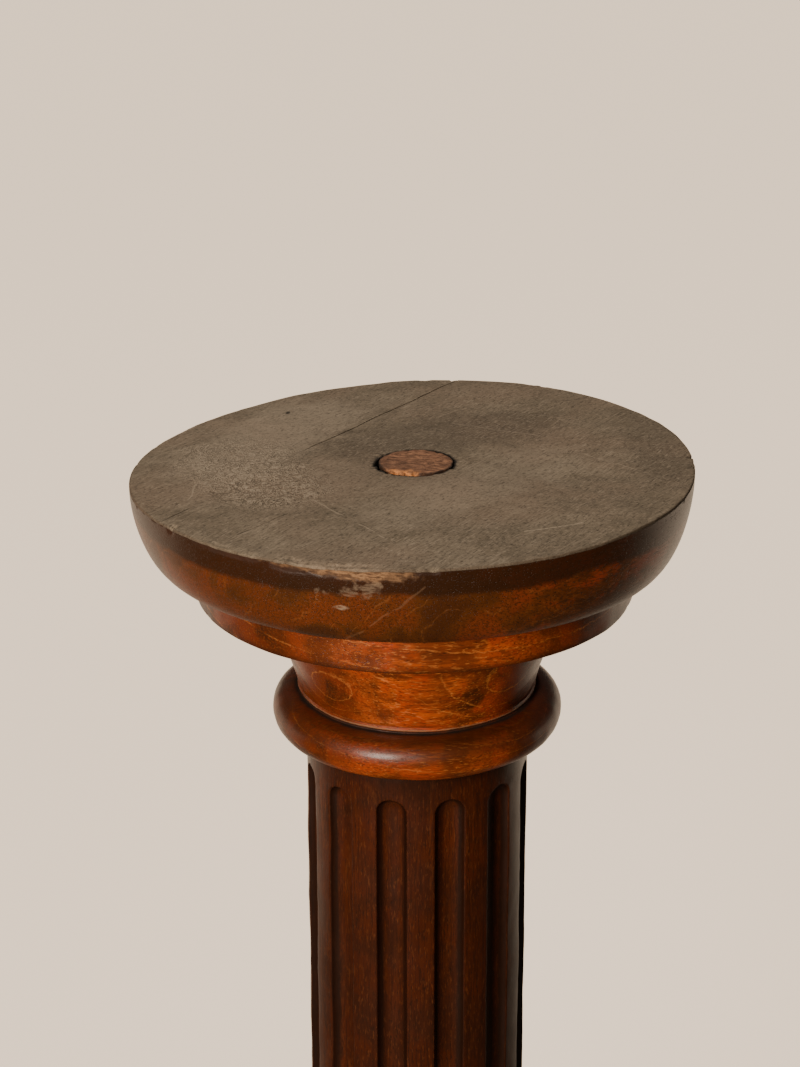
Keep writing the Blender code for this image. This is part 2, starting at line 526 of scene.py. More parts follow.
class Sheet:
    """Adds nodes to one node tree. Each node's inputs take other nodes' outputs or plain values."""

    def __init__(self, tree: bpy.types.NodeTree) -> None:
        """Keeps the node tree."""
        self.tree = tree

    def feed(self, socket: Socket, source: Source) -> None:
        """Links a socket to its source, or gives it a plain value.

        Args:
            socket: An input of a node.
            source: Another node's output, or the value.
        """
        if isinstance(source, bpy.types.NodeSocket):
            self.tree.links.new(source, socket)
        else:
            socket.default_value = source

    def fill(self, node: bpy.types.Node, inputs: Mapping[Union[str, int], Source]) -> None:
        """Feeds some inputs of a node, given by name or number."""
        for name, source in inputs.items():
            self.feed(node.inputs[name], source)

    def node(
        self, kind: str, inputs: Optional[Mapping[Union[str, int], Source]] = None, **settings: object
    ) -> bpy.types.Node:
        """Adds a node.

        Args:
            kind: Blender's name of the node type.
            inputs: Sources by the input's name or number.
            settings: The node's own settings.

        Returns:
            The node.
        """
        made = self.tree.nodes.new(kind)
        for name, value in settings.items():
            setattr(made, name, value)
        self.fill(made, inputs or {})
        return made

    def math(self, operation: str, *sources: Source, clamp: bool = False) -> Socket:
        """Adds a Math node and returns its result."""
        made = self.node("ShaderNodeMath", dict(enumerate(sources)), operation=operation, use_clamp=clamp)
        return made.outputs[0]

    def times(self, first: Source, second: Source) -> Socket:
        """Returns a number times another."""
        return self.math("MULTIPLY", first, second)

    def weighted(self, value: Source, weight: Source, rest: Source) -> Socket:
        """Returns a number times its weight, plus the rest."""
        return self.math("MULTIPLY_ADD", value, weight, rest)

    def vector(self, operation: str, *sources: Source) -> Socket:
        """Adds a Vector Math node.

        Args:
            operation: Blender's name of what it does.
            sources: What it takes.

        Returns:
            Its result.
        """
        made = self.node("ShaderNodeVectorMath", dict(enumerate(sources)), operation=operation)
        plain = operation in ("DOT_PRODUCT", "DISTANCE", "LENGTH")
        return made.outputs["Value" if plain else "Vector"]

    def scaled(self, vector: Source, factor: Source) -> Socket:
        """Returns a vector times a number."""
        made = self.node("ShaderNodeVectorMath", {0: vector, "Scale": factor}, operation="SCALE")
        return made.outputs["Vector"]

    def span(self, value: Source, low: Source, high: Source) -> Socket:
        """Returns 0 where the value is at `low` and 1 at `high`, with a soft start and end."""
        inputs = {"Value": value, "From Min": low, "From Max": high}
        return self.node("ShaderNodeMapRange", inputs, interpolation_type="SMOOTHSTEP").outputs["Result"]

    def noise(self, vector: Source, scale: Source, detail: float = 2.0, distortion: float = 0.0) -> Socket:
        """Returns a noise value from 0 to 1."""
        inputs = {"Vector": vector, "Scale": scale, "Detail": detail, "Distortion": distortion}
        return self.node("ShaderNodeTexNoise", inputs).outputs[0]

    def sway(self, vector: Source, scale: Source, detail: float = 2.0, distortion: float = 0.0) -> Socket:
        """Returns a noise value from -0.5 to 0.5."""
        return self.math("SUBTRACT", self.noise(vector, scale, detail, distortion), 0.5)

    def scatter(self, vector: Source, scale: float) -> Socket:
        """Returns a noise vector, with each coordinate from -0.5 to 0.5."""
        noise = self.node("ShaderNodeTexNoise", {"Vector": vector, "Scale": scale, "Detail": 2.0})
        return self.vector("SUBTRACT", noise.outputs["Color"], (0.5, 0.5, 0.5))

    def mix(self, share: Source, first: Source, second: Source) -> Socket:
        """Makes a colour between two colours.

        Args:
            share: 0 for the first colour and 1 for the second.
            first: The first colour.
            second: The second colour.

        Returns:
            The mixed colour.
        """
        made = self.node("ShaderNodeMix", {0: share}, data_type="RGBA")
        for slot, colour in ((6, first), (7, second)):
            plain = not isinstance(colour, bpy.types.NodeSocket)
            self.feed(made.inputs[slot], (*colour, 1.0) if plain else colour)
        return made.outputs[2]

    def tint(self, wood: Source, colour: Source, mask: Source, strength: Source) -> Socket:
        """Returns the wood's colour, tinted by another where a mask shows, as strongly as given."""
        return self.mix(self.times(mask, strength), wood, colour)

    def bump(self, height: Source, distance: float, strength: float) -> Socket:
        """Returns the surface's direction with a relief on it."""
        made = self.node("ShaderNodeBump", {"Height": height, "Distance": distance, "Strength": strength})
        return made.outputs["Normal"]

    def between(self, share: Source, low: Source, high: Source) -> Socket:
        """Returns a number between two numbers."""
        made = self.node("ShaderNodeMix", {0: share, 2: low, 3: high}, data_type="FLOAT")
        return made.outputs[0]

    def most(self, *sources: Source) -> Socket:
        """Finds the greatest of some values.

        Args:
            sources: The values.

        Returns:
            The greatest one.
        """
        found = sources[0]
        for source in sources[1:]:
            found = self.math("MAXIMUM", found, source)
        return found

    def place(self) -> Socket:
        """Returns the point's place on the column."""
        return self.node("ShaderNodeTexCoord").outputs["Object"]

    def facing(self) -> Socket:
        """Returns the direction that the surface faces."""
        return self.node("ShaderNodeTexCoord").outputs["Normal"]

    def state(self, name: str) -> Socket:
        """Returns one of the mesh's own values: bare, worn, dirt or stain, some of which carry painted shade
        or highlights.
        """
        return self.node("ShaderNodeAttribute", attribute_name=name).outputs["Fac"]


class Effect:
    """A shader node group that is built once and placed in each material with its own values."""

    title = ""
    takes: dict[str, tuple[Kind, object]] = {}
    gives: tuple[str, ...] = ()

    def __init__(self) -> None:
        """Builds the node group."""
        self.tree = bpy.data.node_groups.new(self.title, "ShaderNodeTree")
        for name, (kind, value) in self.takes.items():
            socket = self.tree.interface.new_socket(name=name, in_out="INPUT", socket_type=kind.value)
            socket.default_value = value
        for name in self.gives:
            self.tree.interface.new_socket(name=name, in_out="OUTPUT", socket_type=Kind.VALUE.value)
        sheet = Sheet(self.tree)
        given = sheet.node("NodeGroupInput").outputs
        leaving = sheet.node("NodeGroupOutput")
        for name, made in self.wire(sheet, given).items():
            sheet.feed(leaving.inputs[name], made)

    def wire(self, sheet: Sheet, given: Mapping[str, Socket]) -> dict[str, Socket]:
        """Adds the group's nodes.

        Args:
            sheet: The group's nodes.
            given: The group's inputs by name.

        Returns:
            The group's outputs by name.
        """
        raise NotImplementedError

    def placed(self, sheet: Sheet, **values: Source) -> Mapping[str, Socket]:
        """Places the group in a material.

        Args:
            sheet: The material's nodes.
            values: Sources by the group's input names, in lower case with underscores.

        Returns:
            The group's outputs.
        """
        inputs = {name.replace("_", " ").capitalize(): value for name, value in values.items()}
        return sheet.node("ShaderNodeGroup", inputs, node_tree=self.tree).outputs


class LongGrain(Effect):
    """Fibres that run one way: broad streaks, fine fibres, short dark pores and short pale flecks."""

    title = "Long grain"
    takes = {
        "Place": (Kind.VECTOR, ORIGIN),
        "Along": (Kind.VECTOR, Lay.UPRIGHT.value),
        "Streak width": (Kind.VALUE, 0.006),
        "Streak length": (Kind.VALUE, 0.12),
        "Pore width": (Kind.VALUE, 0.0006),
        "Pore length": (Kind.VALUE, 0.006),
    }
    gives = ("Streaks", "Fibres", "Pores", "Flecks")

    def wire(self, sheet: Sheet, given: Mapping[str, Socket]) -> dict[str, Socket]:
        """Adds the group's nodes.

        Args:
            sheet: The group's nodes.
            given: The group's inputs by name.

        Returns:
            The group's outputs by name.
        """
        reach = sheet.vector("DOT_PRODUCT", given["Place"], given["Along"])
        lengthways = sheet.scaled(given["Along"], reach)
        crossways = sheet.vector("SUBTRACT", given["Place"], lengthways)

        def stretched(width: Source, length: Source) -> Socket:
            """Returns the place, drawn out along the fibres."""
            narrow = sheet.scaled(crossways, sheet.math("DIVIDE", 1.0, width))
            long = sheet.scaled(lengthways, sheet.math("DIVIDE", 1.0, length))
            return sheet.vector("ADD", narrow, long)

        streaks = sheet.noise(stretched(given["Streak width"], given["Streak length"]), 1.0, 3.0, 0.3)
        fine_width = sheet.times(given["Pore width"], 1.6)
        fine_length = sheet.times(given["Pore length"], 5.0)
        fibres = sheet.noise(stretched(fine_width, fine_length), 1.0, 2.0)
        short = stretched(given["Pore width"], given["Pore length"])
        pores = sheet.span(sheet.noise(short, 1.0, 1.0), 0.58, 0.72)
        flecks = sheet.span(sheet.noise(sheet.vector("ADD", short, (17.0, 5.0, 9.0)), 0.8, 2.0), 0.56, 0.70)
        return {"Streaks": streaks, "Fibres": fibres, "Pores": pores, "Flecks": flecks}


class GrowthRings(Effect):
    """Layers of yearly growth, cut through by the surface, with two places where they close in ovals."""

    title = "Growth rings"
    takes = {
        "Place": (Kind.VECTOR, ORIGIN),
        "Stack": (Kind.VECTOR, Lay.UPRIGHT.value),
        "Spacing": (Kind.VALUE, 0.006),
        "Waver": (Kind.VALUE, 1.0),
        "First eye": (Kind.VECTOR, (0.0, 0.0, -1.0)),
        "First reach": (Kind.VECTOR, (0.037, 0.037, 0.020)),
        "First rings": (Kind.VALUE, 3.2),
        "Second eye": (Kind.VECTOR, (0.0, 0.0, -1.0)),
        "Second reach": (Kind.VECTOR, (0.037, 0.037, 0.020)),
        "Second rings": (Kind.VALUE, 3.2),
    }
    gives = ("Lines", "Shade", "Cores")

    def wire(self, sheet: Sheet, given: Mapping[str, Socket]) -> dict[str, Socket]:
        """Adds the group's nodes.

        Args:
            sheet: The group's nodes.
            given: The group's inputs by name.

        Returns:
            The group's outputs by name.
        """
        depth = sheet.vector("DOT_PRODUCT", given["Place"], given["Stack"])
        layer = sheet.math("DIVIDE", depth, given["Spacing"])
        for scale, strength in ((13.0, 3.0), (45.0, 0.8)):
            sway = sheet.sway(given["Place"], scale)
            layer = sheet.weighted(sheet.times(sway, given["Waver"]), strength, layer)
        near = []
        for eye in ("First", "Second"):
            offset = sheet.vector("SUBTRACT", given["Place"], given[f"{eye} eye"])
            away = sheet.vector("LENGTH", sheet.vector("DIVIDE", offset, given[f"{eye} reach"]))
            fall = sheet.math("POWER", math.exp(-1.0), sheet.times(away, away))
            layer = sheet.weighted(fall, given[f"{eye} rings"], layer)
            near.append(fall)
        fuzz = sheet.sway(given["Place"], 300.0, 3.0)
        layer = sheet.weighted(fuzz, 0.22, layer)
        share = sheet.math("FRACT", layer)
        side = sheet.math("ABSOLUTE", sheet.math("SUBTRACT", share, 0.5))
        inside = sheet.most(*near)
        patchy = sheet.span(sheet.noise(given["Place"], 75.0), 0.36, 0.60)
        fuller = sheet.weighted(patchy, 0.6, 0.4)
        strength = sheet.between(sheet.span(inside, 0.02, 0.20), patchy, fuller)
        lines = sheet.times(sheet.span(side, 0.45, 0.497), strength)
        return {"Lines": lines, "Shade": share, "Cores": sheet.span(inside, 0.42, 0.86)}


class DrawnLine(Effect):
    """A crack or scratch along one straight line."""

    title = "Drawn line"
    takes = {
        "Place": (Kind.VECTOR, ORIGIN),
        "Start": (Kind.VECTOR, ORIGIN),
        "End": (Kind.VECTOR, (0.1, 0.0, 0.0)),
        "Width": (Kind.VALUE, 0.001),
        "Wander": (Kind.VALUE, 0.001),
    }
    gives = ("Mask",)

    def wire(self, sheet: Sheet, given: Mapping[str, Socket]) -> dict[str, Socket]:
        """Adds the group's nodes.

        Args:
            sheet: The group's nodes.
            given: The group's inputs by name.

        Returns:
            The group's outputs by name.
        """
        wander = sheet.scaled(sheet.scatter(given["Place"], 90.0), given["Wander"])
        place = sheet.vector("ADD", given["Place"], wander)
        run = sheet.vector("SUBTRACT", given["End"], given["Start"])
        offset = sheet.vector("SUBTRACT", place, given["Start"])
        squared = sheet.vector("DOT_PRODUCT", run, run)
        share = sheet.math("DIVIDE", sheet.vector("DOT_PRODUCT", offset, run), squared, clamp=True)
        away = sheet.vector("LENGTH", sheet.vector("SUBTRACT", offset, sheet.scaled(run, share)))
        half = sheet.times(given["Width"], 0.5)
        return {"Mask": sheet.span(away, half, sheet.times(half, 0.35))}


class WornPatch(Effect):
    """A ragged patch round one place."""

    title = "Worn patch"
    takes = {
        "Place": (Kind.VECTOR, ORIGIN),
        "Centre": (Kind.VECTOR, ORIGIN),
        "Reach": (Kind.VECTOR, (0.01, 0.01, 0.01)),
        "Ragged": (Kind.VALUE, 0.6),
        "Fleck scale": (Kind.VALUE, 200.0),
    }
    gives = ("Mask",)

    def wire(self, sheet: Sheet, given: Mapping[str, Socket]) -> dict[str, Socket]:
        """Adds the group's nodes.

        Args:
            sheet: The group's nodes.
            given: The group's inputs by name.

        Returns:
            The group's outputs by name.
        """
        offset = sheet.vector("SUBTRACT", given["Place"], given["Centre"])
        away = sheet.vector("LENGTH", sheet.vector("DIVIDE", offset, given["Reach"]))
        fleck = sheet.sway(given["Place"], given["Fleck scale"], 3.0)
        torn = sheet.weighted(fleck, sheet.times(given["Ragged"], 3.0), away)
        threads = sheet.vector("MULTIPLY", given["Place"], (1.0, 1.0, 4.0))
        broken = sheet.between(sheet.span(sheet.noise(threads, 240.0, 3.0), 0.36, 0.60), 0.25, 1.0)
        return {"Mask": sheet.times(sheet.span(torn, 1.15, 0.45), broken)}


class EdgeWear(Effect):
    """Rubbed edges, broken up into flecks."""

    title = "Edge wear"
    takes = {
        "Place": (Kind.VECTOR, ORIGIN),
        "Worn": (Kind.VALUE, 0.0),
        "Amount": (Kind.VALUE, 1.0),
        "Fleck scale": (Kind.VALUE, 220.0),
    }
    gives = ("Mask",)

    def wire(self, sheet: Sheet, given: Mapping[str, Socket]) -> dict[str, Socket]:
        """Adds the group's nodes.

        Args:
            sheet: The group's nodes.
            given: The group's inputs by name.

        Returns:
            The group's outputs by name.
        """
        fleck = sheet.noise(given["Place"], given["Fleck scale"], 3.0)
        drift = sheet.noise(given["Place"], 25.0)
        worn = sheet.times(given["Worn"], given["Amount"])
        broken = sheet.times(worn, sheet.math("ADD", fleck, drift))
        return {"Mask": sheet.span(broken, 0.42, 0.85)}


class Grime(Effect):
    """Dark dirt and painted shade in the hollows, and a thin uneven film elsewhere."""

    title = "Grime"
    takes = {
        "Place": (Kind.VECTOR, ORIGIN),
        "Dirt": (Kind.VALUE, 0.0),
        "Film": (Kind.VALUE, 0.3),
    }
    gives = ("Mask", "Film")

    def wire(self, sheet: Sheet, given: Mapping[str, Socket]) -> dict[str, Socket]:
        """Adds the group's nodes.

        Args:
            sheet: The group's nodes.
            given: The group's inputs by name.

        Returns:
            The group's outputs by name.
        """
        fleck = sheet.sway(given["Place"], 140.0, 3.0)
        settled = sheet.weighted(fleck, sheet.times(given["Dirt"], 1.2), given["Dirt"])
        cloud = sheet.span(sheet.noise(given["Place"], 22.0, 4.0), 0.40, 0.68)
        return {"Mask": sheet.span(settled, 0.15, 0.95), "Film": sheet.times(cloud, given["Film"])}


class Effects:
    """The shared node groups."""

    def __init__(self) -> None:
        """Builds each group once."""
        self.grain = LongGrain()
        self.rings = GrowthRings()
        self.line = DrawnLine()
        self.patch = WornPatch()
        self.edges = EdgeWear()
        self.grime = Grime()


@dataclass(frozen=True)
class Mark:
    """A line or patch that one finish shows in one place.

    Attributes:
        start: Where a line starts, or the middle of a patch.
        end: Where a line ends, or how far a patch reaches along X, Y and Z.
        width: A line's width, or 0 for a patch.
        strength: How strongly it shows.
        ragged: How far a line wanders in metres, or how torn a patch is.
        axes: The axes of the plane in which a line is drawn.
    """

    start: Point
    end: Point
    width: float = 0.0
    strength: float = 1.0
    ragged: float = 0.5
    axes: Point = (1.0, 1.0, 0.0)

    def mask(self, sheet: Sheet, effects: Effects, place: Socket) -> Socket:
        """Adds the mark.

        Args:
            sheet: The material's nodes.
            effects: The shared node groups.
            place: The point's place.

        Returns:
            Where the mark shows.
        """
        if self.width:
            flat = sheet.vector("MULTIPLY", place, self.axes)
            values = {"start": self.start, "end": self.end, "width": self.width, "wander": self.ragged}
            found = effects.line.placed(sheet, place=flat, **values)
        else:
            values = {"centre": self.start, "reach": self.end, "ragged": self.ragged}
            found = effects.patch.placed(sheet, place=place, **values)
        return sheet.times(found["Mask"], self.strength)


def marked(sheet: Sheet, effects: Effects, place: Socket, marks: Sequence[Mark]) -> Source:
    """Returns where any of the marks shows."""
    return sheet.most(0.0, *(mark.mask(sheet, effects, place) for mark in marks))


@dataclass(frozen=True)
class Eye:
    """A place where the growth rings close in ovals.

    Attributes:
        centre: The middle of the ovals.
        reach: How far they reach along X, Y and Z.
        rings: The number of rings in it.
    """

    centre: Point = (0.0, 0.0, -1.0)
    reach: Point = (0.037, 0.037, 0.020)
    rings: float = 3.2


@dataclass(frozen=True)
class Varnish:
    """Stained and varnished wood.

    Attributes:
        deep: Colour of the dark streaks.
        warm: Colour of the light streaks.
        line: Colour of the lines between the growth rings.
        ruddy: Colour of the red blotches.
        grime: Colour of the dirt, and of the shade painted into grooves and gaps.
        dark_stain_and_shade: Colour where the stain is thick, also used for shade painted on as dark stain.
        end_grain: Colour where the surface cuts across the fibres and has drunk more stain.
        rubbed: Colour of the edges where the varnish is worn.
        lay: Direction of the fibres.
        stack: Direction in which the growth rings lie on each other.
        spacing: Distance between the growth rings.
        waver: How much the growth rings wander.
        eyes: The two places where the growth rings close in ovals.
        roughness: Roughness of the varnish.
        edge_wear: How much the edges are rubbed.
        streak_width: Width of the broad streaks.
        figure: How strongly the growth rings show.
        ring_lines: How strongly the lines between them show.
        redness: How strongly the red blotches show.
        flecks: How strongly the pale flecks show.
    """

    deep: Colour
    warm: Colour
    line: Colour
    ruddy: Colour
    grime: Colour = (0.015, 0.006, 0.0025)
    dark_stain_and_shade: Colour = (0.034, 0.0095, 0.0030)
    end_grain: Colour = (0.045, 0.0115, 0.0025)
    rubbed: Colour = (0.36, 0.20, 0.11)
    lay: Lay = Lay.BLOCK
    stack: Point = (0.08, -0.14, 0.987)
    spacing: float = 0.0055
    waver: float = 0.8
    eyes: tuple[Eye, Eye] = (Eye(), Eye())
    roughness: float = 0.36
    edge_wear: float = 0.8
    streak_width: float = 0.005
    figure: float = 0.40
    ring_lines: float = 0.40
    redness: float = 0.80
    flecks: float = 0.40

    def colour(self, sheet: Sheet, effects: Effects, place: Socket) -> tuple[Socket, Socket, Socket]:
        """Adds the wood's colour.

        Args:
            sheet: The material's nodes.
            effects: The shared node groups.
            place: The point's place.

        Returns:
            The colour, the height of the grain and the mask of the dirt and painted shade.
        """
        grain = effects.grain.placed(
            sheet,
            place=place,
            along=self.lay.value,
            streak_width=self.streak_width,
            streak_length=0.09,
            pore_width=0.0006,
            pore_length=0.0035,
        )
        rings = effects.rings.placed(
            sheet,
            place=place,
            stack=self.stack,
            spacing=self.spacing,
            waver=self.waver,
            first_eye=self.eyes[0].centre,
            first_reach=self.eyes[0].reach,
            first_rings=self.eyes[0].rings,
            second_eye=self.eyes[1].centre,
            second_reach=self.eyes[1].reach,
            second_rings=self.eyes[1].rings,
        )
        grime = effects.grime.placed(sheet, place=place, dirt=sheet.state("dirt"), film=0.45)
        wood = sheet.mix(sheet.span(grain["Streaks"], 0.30, 0.72), self.deep, self.warm)
        wood = sheet.tint(wood, self.deep, rings["Shade"], self.figure)
        wood = sheet.tint(wood, self.end_grain, rings["Cores"], 0.72)
        facing = sheet.vector("DOT_PRODUCT", sheet.facing(), self.lay.value)
        across = sheet.times(sheet.span(sheet.math("ABSOLUTE", facing), 0.28, 0.72), 0.92)
        wood = sheet.mix(across, wood, self.end_grain)
        cloud = sheet.noise(place, 38.0, 5.0, 0.7)
        redness = sheet.between(across, self.redness, 0.25 * self.redness)
        wood = sheet.tint(wood, self.ruddy, sheet.span(cloud, 0.44, 0.58), redness)
        wood = sheet.tint(wood, self.dark_stain_and_shade, sheet.span(cloud, 0.47, 0.38), 0.65 * self.redness)
        wood = sheet.tint(wood, self.line, rings["Lines"], self.ring_lines)
        wood = sheet.tint(wood, self.deep, sheet.span(grain["Fibres"], 0.50, 0.38), 0.75)
        wood = sheet.tint(wood, self.line, grain["Flecks"], sheet.between(across, self.flecks, 0.12))
        wood = sheet.tint(wood, self.grime, grain["Pores"], 0.60)
        wood = sheet.tint(wood, self.deep, grime["Film"], 0.75)
        # Thick stain from the mesh, which in places is painted shade: on the astragal, right under it and in
        # the flutes
        streaky = sheet.math("SUBTRACT", grain["Streaks"], 0.5)
        stain_and_shade_blotch = sheet.weighted(streaky, 0.8, sheet.state("stain"))
        wood = sheet.tint(wood, self.dark_stain_and_shade, sheet.span(stain_and_shade_blotch, 0.05, 0.95), 0.85)
        wear = effects.edges.placed(sheet, place=place, worn=sheet.state("worn"), amount=self.edge_wear)
        wood = sheet.tint(wood, self.rubbed, wear["Mask"], 0.55)
        wood = sheet.mix(grime["Mask"], wood, self.grime)
        relief = sheet.weighted(grain["Pores"], -0.8, sheet.times(grain["Fibres"], 0.5))
        return wood, relief, grime["Mask"]

    def dress(self, sheet: Sheet, effects: Effects, shader: bpy.types.Node) -> None:
        """Feeds a material's shader.

        Args:
            sheet: The material's nodes.
            effects: The shared node groups.
            shader: The node that gives the surface its look.
        """
        place = sheet.place()
        wood, relief, dirt = self.colour(sheet, effects, place)
        rough = sheet.weighted(sheet.sway(place, 35.0, 3.0), 0.22, self.roughness)
        surface = {
            "Base Color": wood,
            "Roughness": sheet.between(dirt, rough, 0.85),
            "Coat Weight": sheet.between(dirt, 0.22, 0.0),
            "Normal": sheet.bump(relief, 0.00008, 0.6),
        }
        sheet.fill(shader, surface)


@dataclass(frozen=True)
class BareTop:
    """The top: a bare worn face, with a stained and varnished edge under it.

    Attributes:
        varnish: The finish of the edge.
        pale: Colour of the light streaks of the face.
        dull: Colour of the dark streaks of the face.
        ruddy: Colour of the warmer areas of the face.
        dusk: Colour of the darkest areas of the face.
        crack: Colour inside cracks, and of the dirt and painted shade in the gap round the bore.
        scratch: Colour of scratches.
        rubbed: Colour of the edge where it is rubbed through the stain.
        scuffed: Colour of the scuffs under the rub.
        stain: Colour of the dark stained band under the rim.
        stain_foot: Height of the lower edge of the stained band.
        face_radius: Radius of the face.
        centre: The middle of the face.
        knot: Where the grain swirls round a knot.
        light_areas: Where the face is paler.
        dark_areas: Where the face is darker.
        cracks: The cracks.
        scratches: The scratches.
        rubs: Where the edge is rubbed through the stain.
        scuffs: Where the edge is scuffed.
    """

    varnish: Varnish
    stain_foot: float
    face_radius: float
    centre: Point
    pale: Colour = (0.262, 0.202, 0.140)
    dull: Colour = (0.168, 0.126, 0.083)
    ruddy: Colour = (0.265, 0.184, 0.125)
    dusk: Colour = (0.105, 0.076, 0.050)
    crack: Colour = (0.016, 0.010, 0.006)
    scratch: Colour = (0.43, 0.335, 0.245)
    rubbed: Colour = (0.36, 0.190, 0.090)
    scuffed: Colour = (0.43, 0.300, 0.190)
    stain: Colour = (0.030, 0.0100, 0.0030)
    knot: Mark = Mark((-0.098, 0.022, 0.0), (-0.074, -0.034, 0.0), 0.082, 1.0, 0.020)
    light_areas: tuple[Mark, ...] = (
        Mark((-0.098, 0.012, 0.0), (-0.060, 0.088, 0.0), 0.090, 0.42, 0.030),
        Mark((-0.008, -0.072, 0.0), (0.062, 0.000, 0.0), 0.064, 0.24, 0.030),
    )
    dark_areas: tuple[Mark, ...] = (
        Mark((-0.022, 0.030, 0.0), (0.048, 0.058, 0.0), 0.074, 0.55, 0.030),
        Mark((0.128, -0.030, 0.0), (0.126, 0.040, 0.0), 0.050, 0.40, 0.020),
    )
    cracks: tuple[Mark, ...] = (
        Mark((0.0271, 0.1466, 0.0), (-0.0582, 0.0266, 0.0), 0.0012, 0.80, 0.0008),
        Mark((-0.0582, 0.0266, 0.0), (-0.1127, -0.0603, 0.0), 0.0010, 0.30, 0.0022),
        Mark((-0.1127, -0.0603, 0.0), (-0.1242, -0.0766, 0.0), 0.0012, 0.60, 0.0012),
        Mark((-0.0632, -0.0711, 0.0), (-0.0861, -0.0969, 0.0), 0.0010, 0.50, 0.0016),
        Mark((-0.0709, 0.0936, 0.0), (-0.0709, 0.0962, 0.0), 0.0034, 0.90, 0.0008),
    )
    scratches: tuple[Mark, ...] = (
        Mark((0.050, -0.098, 0.0), (0.078, -0.088, 0.0), 0.0014, 0.80, 0.0025),
        Mark((-0.052, -0.052, 0.0), (-0.016, -0.104, 0.0), 0.0014, 0.55, 0.0040),
        Mark((-0.112, -0.022, 0.0), (-0.114, -0.052, 0.0), 0.0014, 0.55, 0.0040),
        Mark((0.020, 0.062, 0.0), (0.066, 0.040, 0.0), 0.0012, 0.45, 0.0035),
        Mark((0.084, 0.012, 0.0), (0.118, -0.022, 0.0), 0.0012, 0.45, 0.0035),
    )
    rubs: tuple[Mark, ...] = (
        Mark((0.002, 0.0, 0.9895), (-0.034, 0.0, 0.9580), 0.0017, 0.17, 0.0035, axes=(1.0, 0.0, 1.0)),
        Mark((-0.046, -0.1365, 0.9975), (0.030, 0.030, 0.0036), strength=0.75, ragged=0.5),
        Mark((-0.026, -0.1420, 0.9955), (0.024, 0.020, 0.0040), strength=0.85, ragged=0.5),
    )
    scuffs: tuple[Mark, ...] = (
        Mark((-0.020, -0.1415, 0.9895), (0.011, 0.020, 0.0026), strength=0.32, ragged=1.5),
        Mark((-0.034, -0.1390, 0.9850), (0.012, 0.020, 0.0018), strength=0.25, ragged=1.6),
        Mark((-0.036, -0.1376, 0.9775), (0.0040, 0.020, 0.0014), strength=0.65, ragged=0.4),
    )

    def face(self, sheet: Sheet, effects: Effects, place: Socket) -> tuple[Socket, Socket]:
        """Adds the bare face.

        Args:
            sheet: The material's nodes.
            effects: The shared node groups.
            place: The point's place.

        Returns:
            The face's colour and the height of its grain.
        """
        knot = self.knot.mask(sheet, effects, place)
        swirl = sheet.scatter(place, 30.0)
        bent = sheet.vector("ADD", place, sheet.scaled(swirl, sheet.between(knot, 0.004, 0.040)))
        grain = effects.grain.placed(
            sheet,
            place=bent,
            along=Lay.BOARD.value,
            streak_width=0.0035,
            streak_length=0.060,
            pore_width=0.0006,
            pore_length=0.0045,
        )
        film = effects.grime.placed(sheet, place=place, dirt=sheet.state("dirt"), film=0.6)
        broad = sheet.noise(place, 15.0, 3.0)
        cloudy = sheet.noise(bent, 34.0, 8.0, 0.8)
        speckle = sheet.noise(bent, 560.0, 3.0)
        drawn = sheet.vector("ADD", place, sheet.scaled(swirl, 0.016))
        curl = sheet.math("ABSOLUTE", sheet.sway(drawn, 290.0, 2.0, 1.3))
        wood = sheet.mix(sheet.span(cloudy, 0.30, 0.70), self.dull, self.pale)
        wood = sheet.tint(wood, self.dull, sheet.span(grain["Streaks"], 0.60, 0.30), 0.40)
        wood = sheet.tint(wood, self.dull, sheet.span(grain["Fibres"], 0.50, 0.34), 0.50)
        wood = sheet.tint(wood, self.scratch, sheet.span(grain["Fibres"], 0.54, 0.72), 0.35)
        wood = sheet.tint(wood, self.ruddy, sheet.span(broad, 0.40, 0.66), 0.60)
        wood = sheet.tint(wood, self.dull, film["Film"], 0.35)
        wood = sheet.mix(marked(sheet, effects, place, self.light_areas), wood, self.scratch)
        wood = sheet.mix(marked(sheet, effects, place, self.dark_areas), wood, self.dusk)
        wood = sheet.tint(wood, self.crack, sheet.span(speckle, 0.45, 0.28), 0.45)
        wood = sheet.tint(wood, self.scratch, sheet.span(speckle, 0.55, 0.74), 0.40)
        wood = sheet.tint(wood, self.crack, grain["Pores"], 0.45)
        patchy = sheet.span(sheet.noise(place, 13.0, 2.0), 0.42, 0.60)
        wood = sheet.tint(wood, self.scratch, grain["Flecks"], sheet.between(patchy, 0.10, 0.50))
        valleys, ridges = sheet.span(curl, 0.10, 0.22), sheet.span(curl, 0.070, 0.015)
        wood = sheet.tint(wood, self.crack, valleys, sheet.weighted(knot, 0.24, 0.05))
        wood = sheet.tint(wood, self.scratch, ridges, sheet.weighted(knot, 0.85, 0.05))
        wood = sheet.mix(marked(sheet, effects, place, self.scratches), wood, self.scratch)
        outward = sheet.vector("MULTIPLY", sheet.vector("SUBTRACT", place, self.centre), (1.0, 1.0, 0.0))
        edge = sheet.span(sheet.vector("LENGTH", outward), self.face_radius - 0.0012, self.face_radius)
        wood = sheet.tint(wood, self.stain, edge, 0.50)
        relief = sheet.weighted(grain["Pores"], -0.8, sheet.times(speckle, 1.2))
        relief = sheet.weighted(cloudy, 1.2, relief)
        wrinkles = sheet.times(sheet.span(curl, 0.15, 0.0), knot)
        relief = sheet.weighted(wrinkles, 2.6, relief)
        return wood, relief

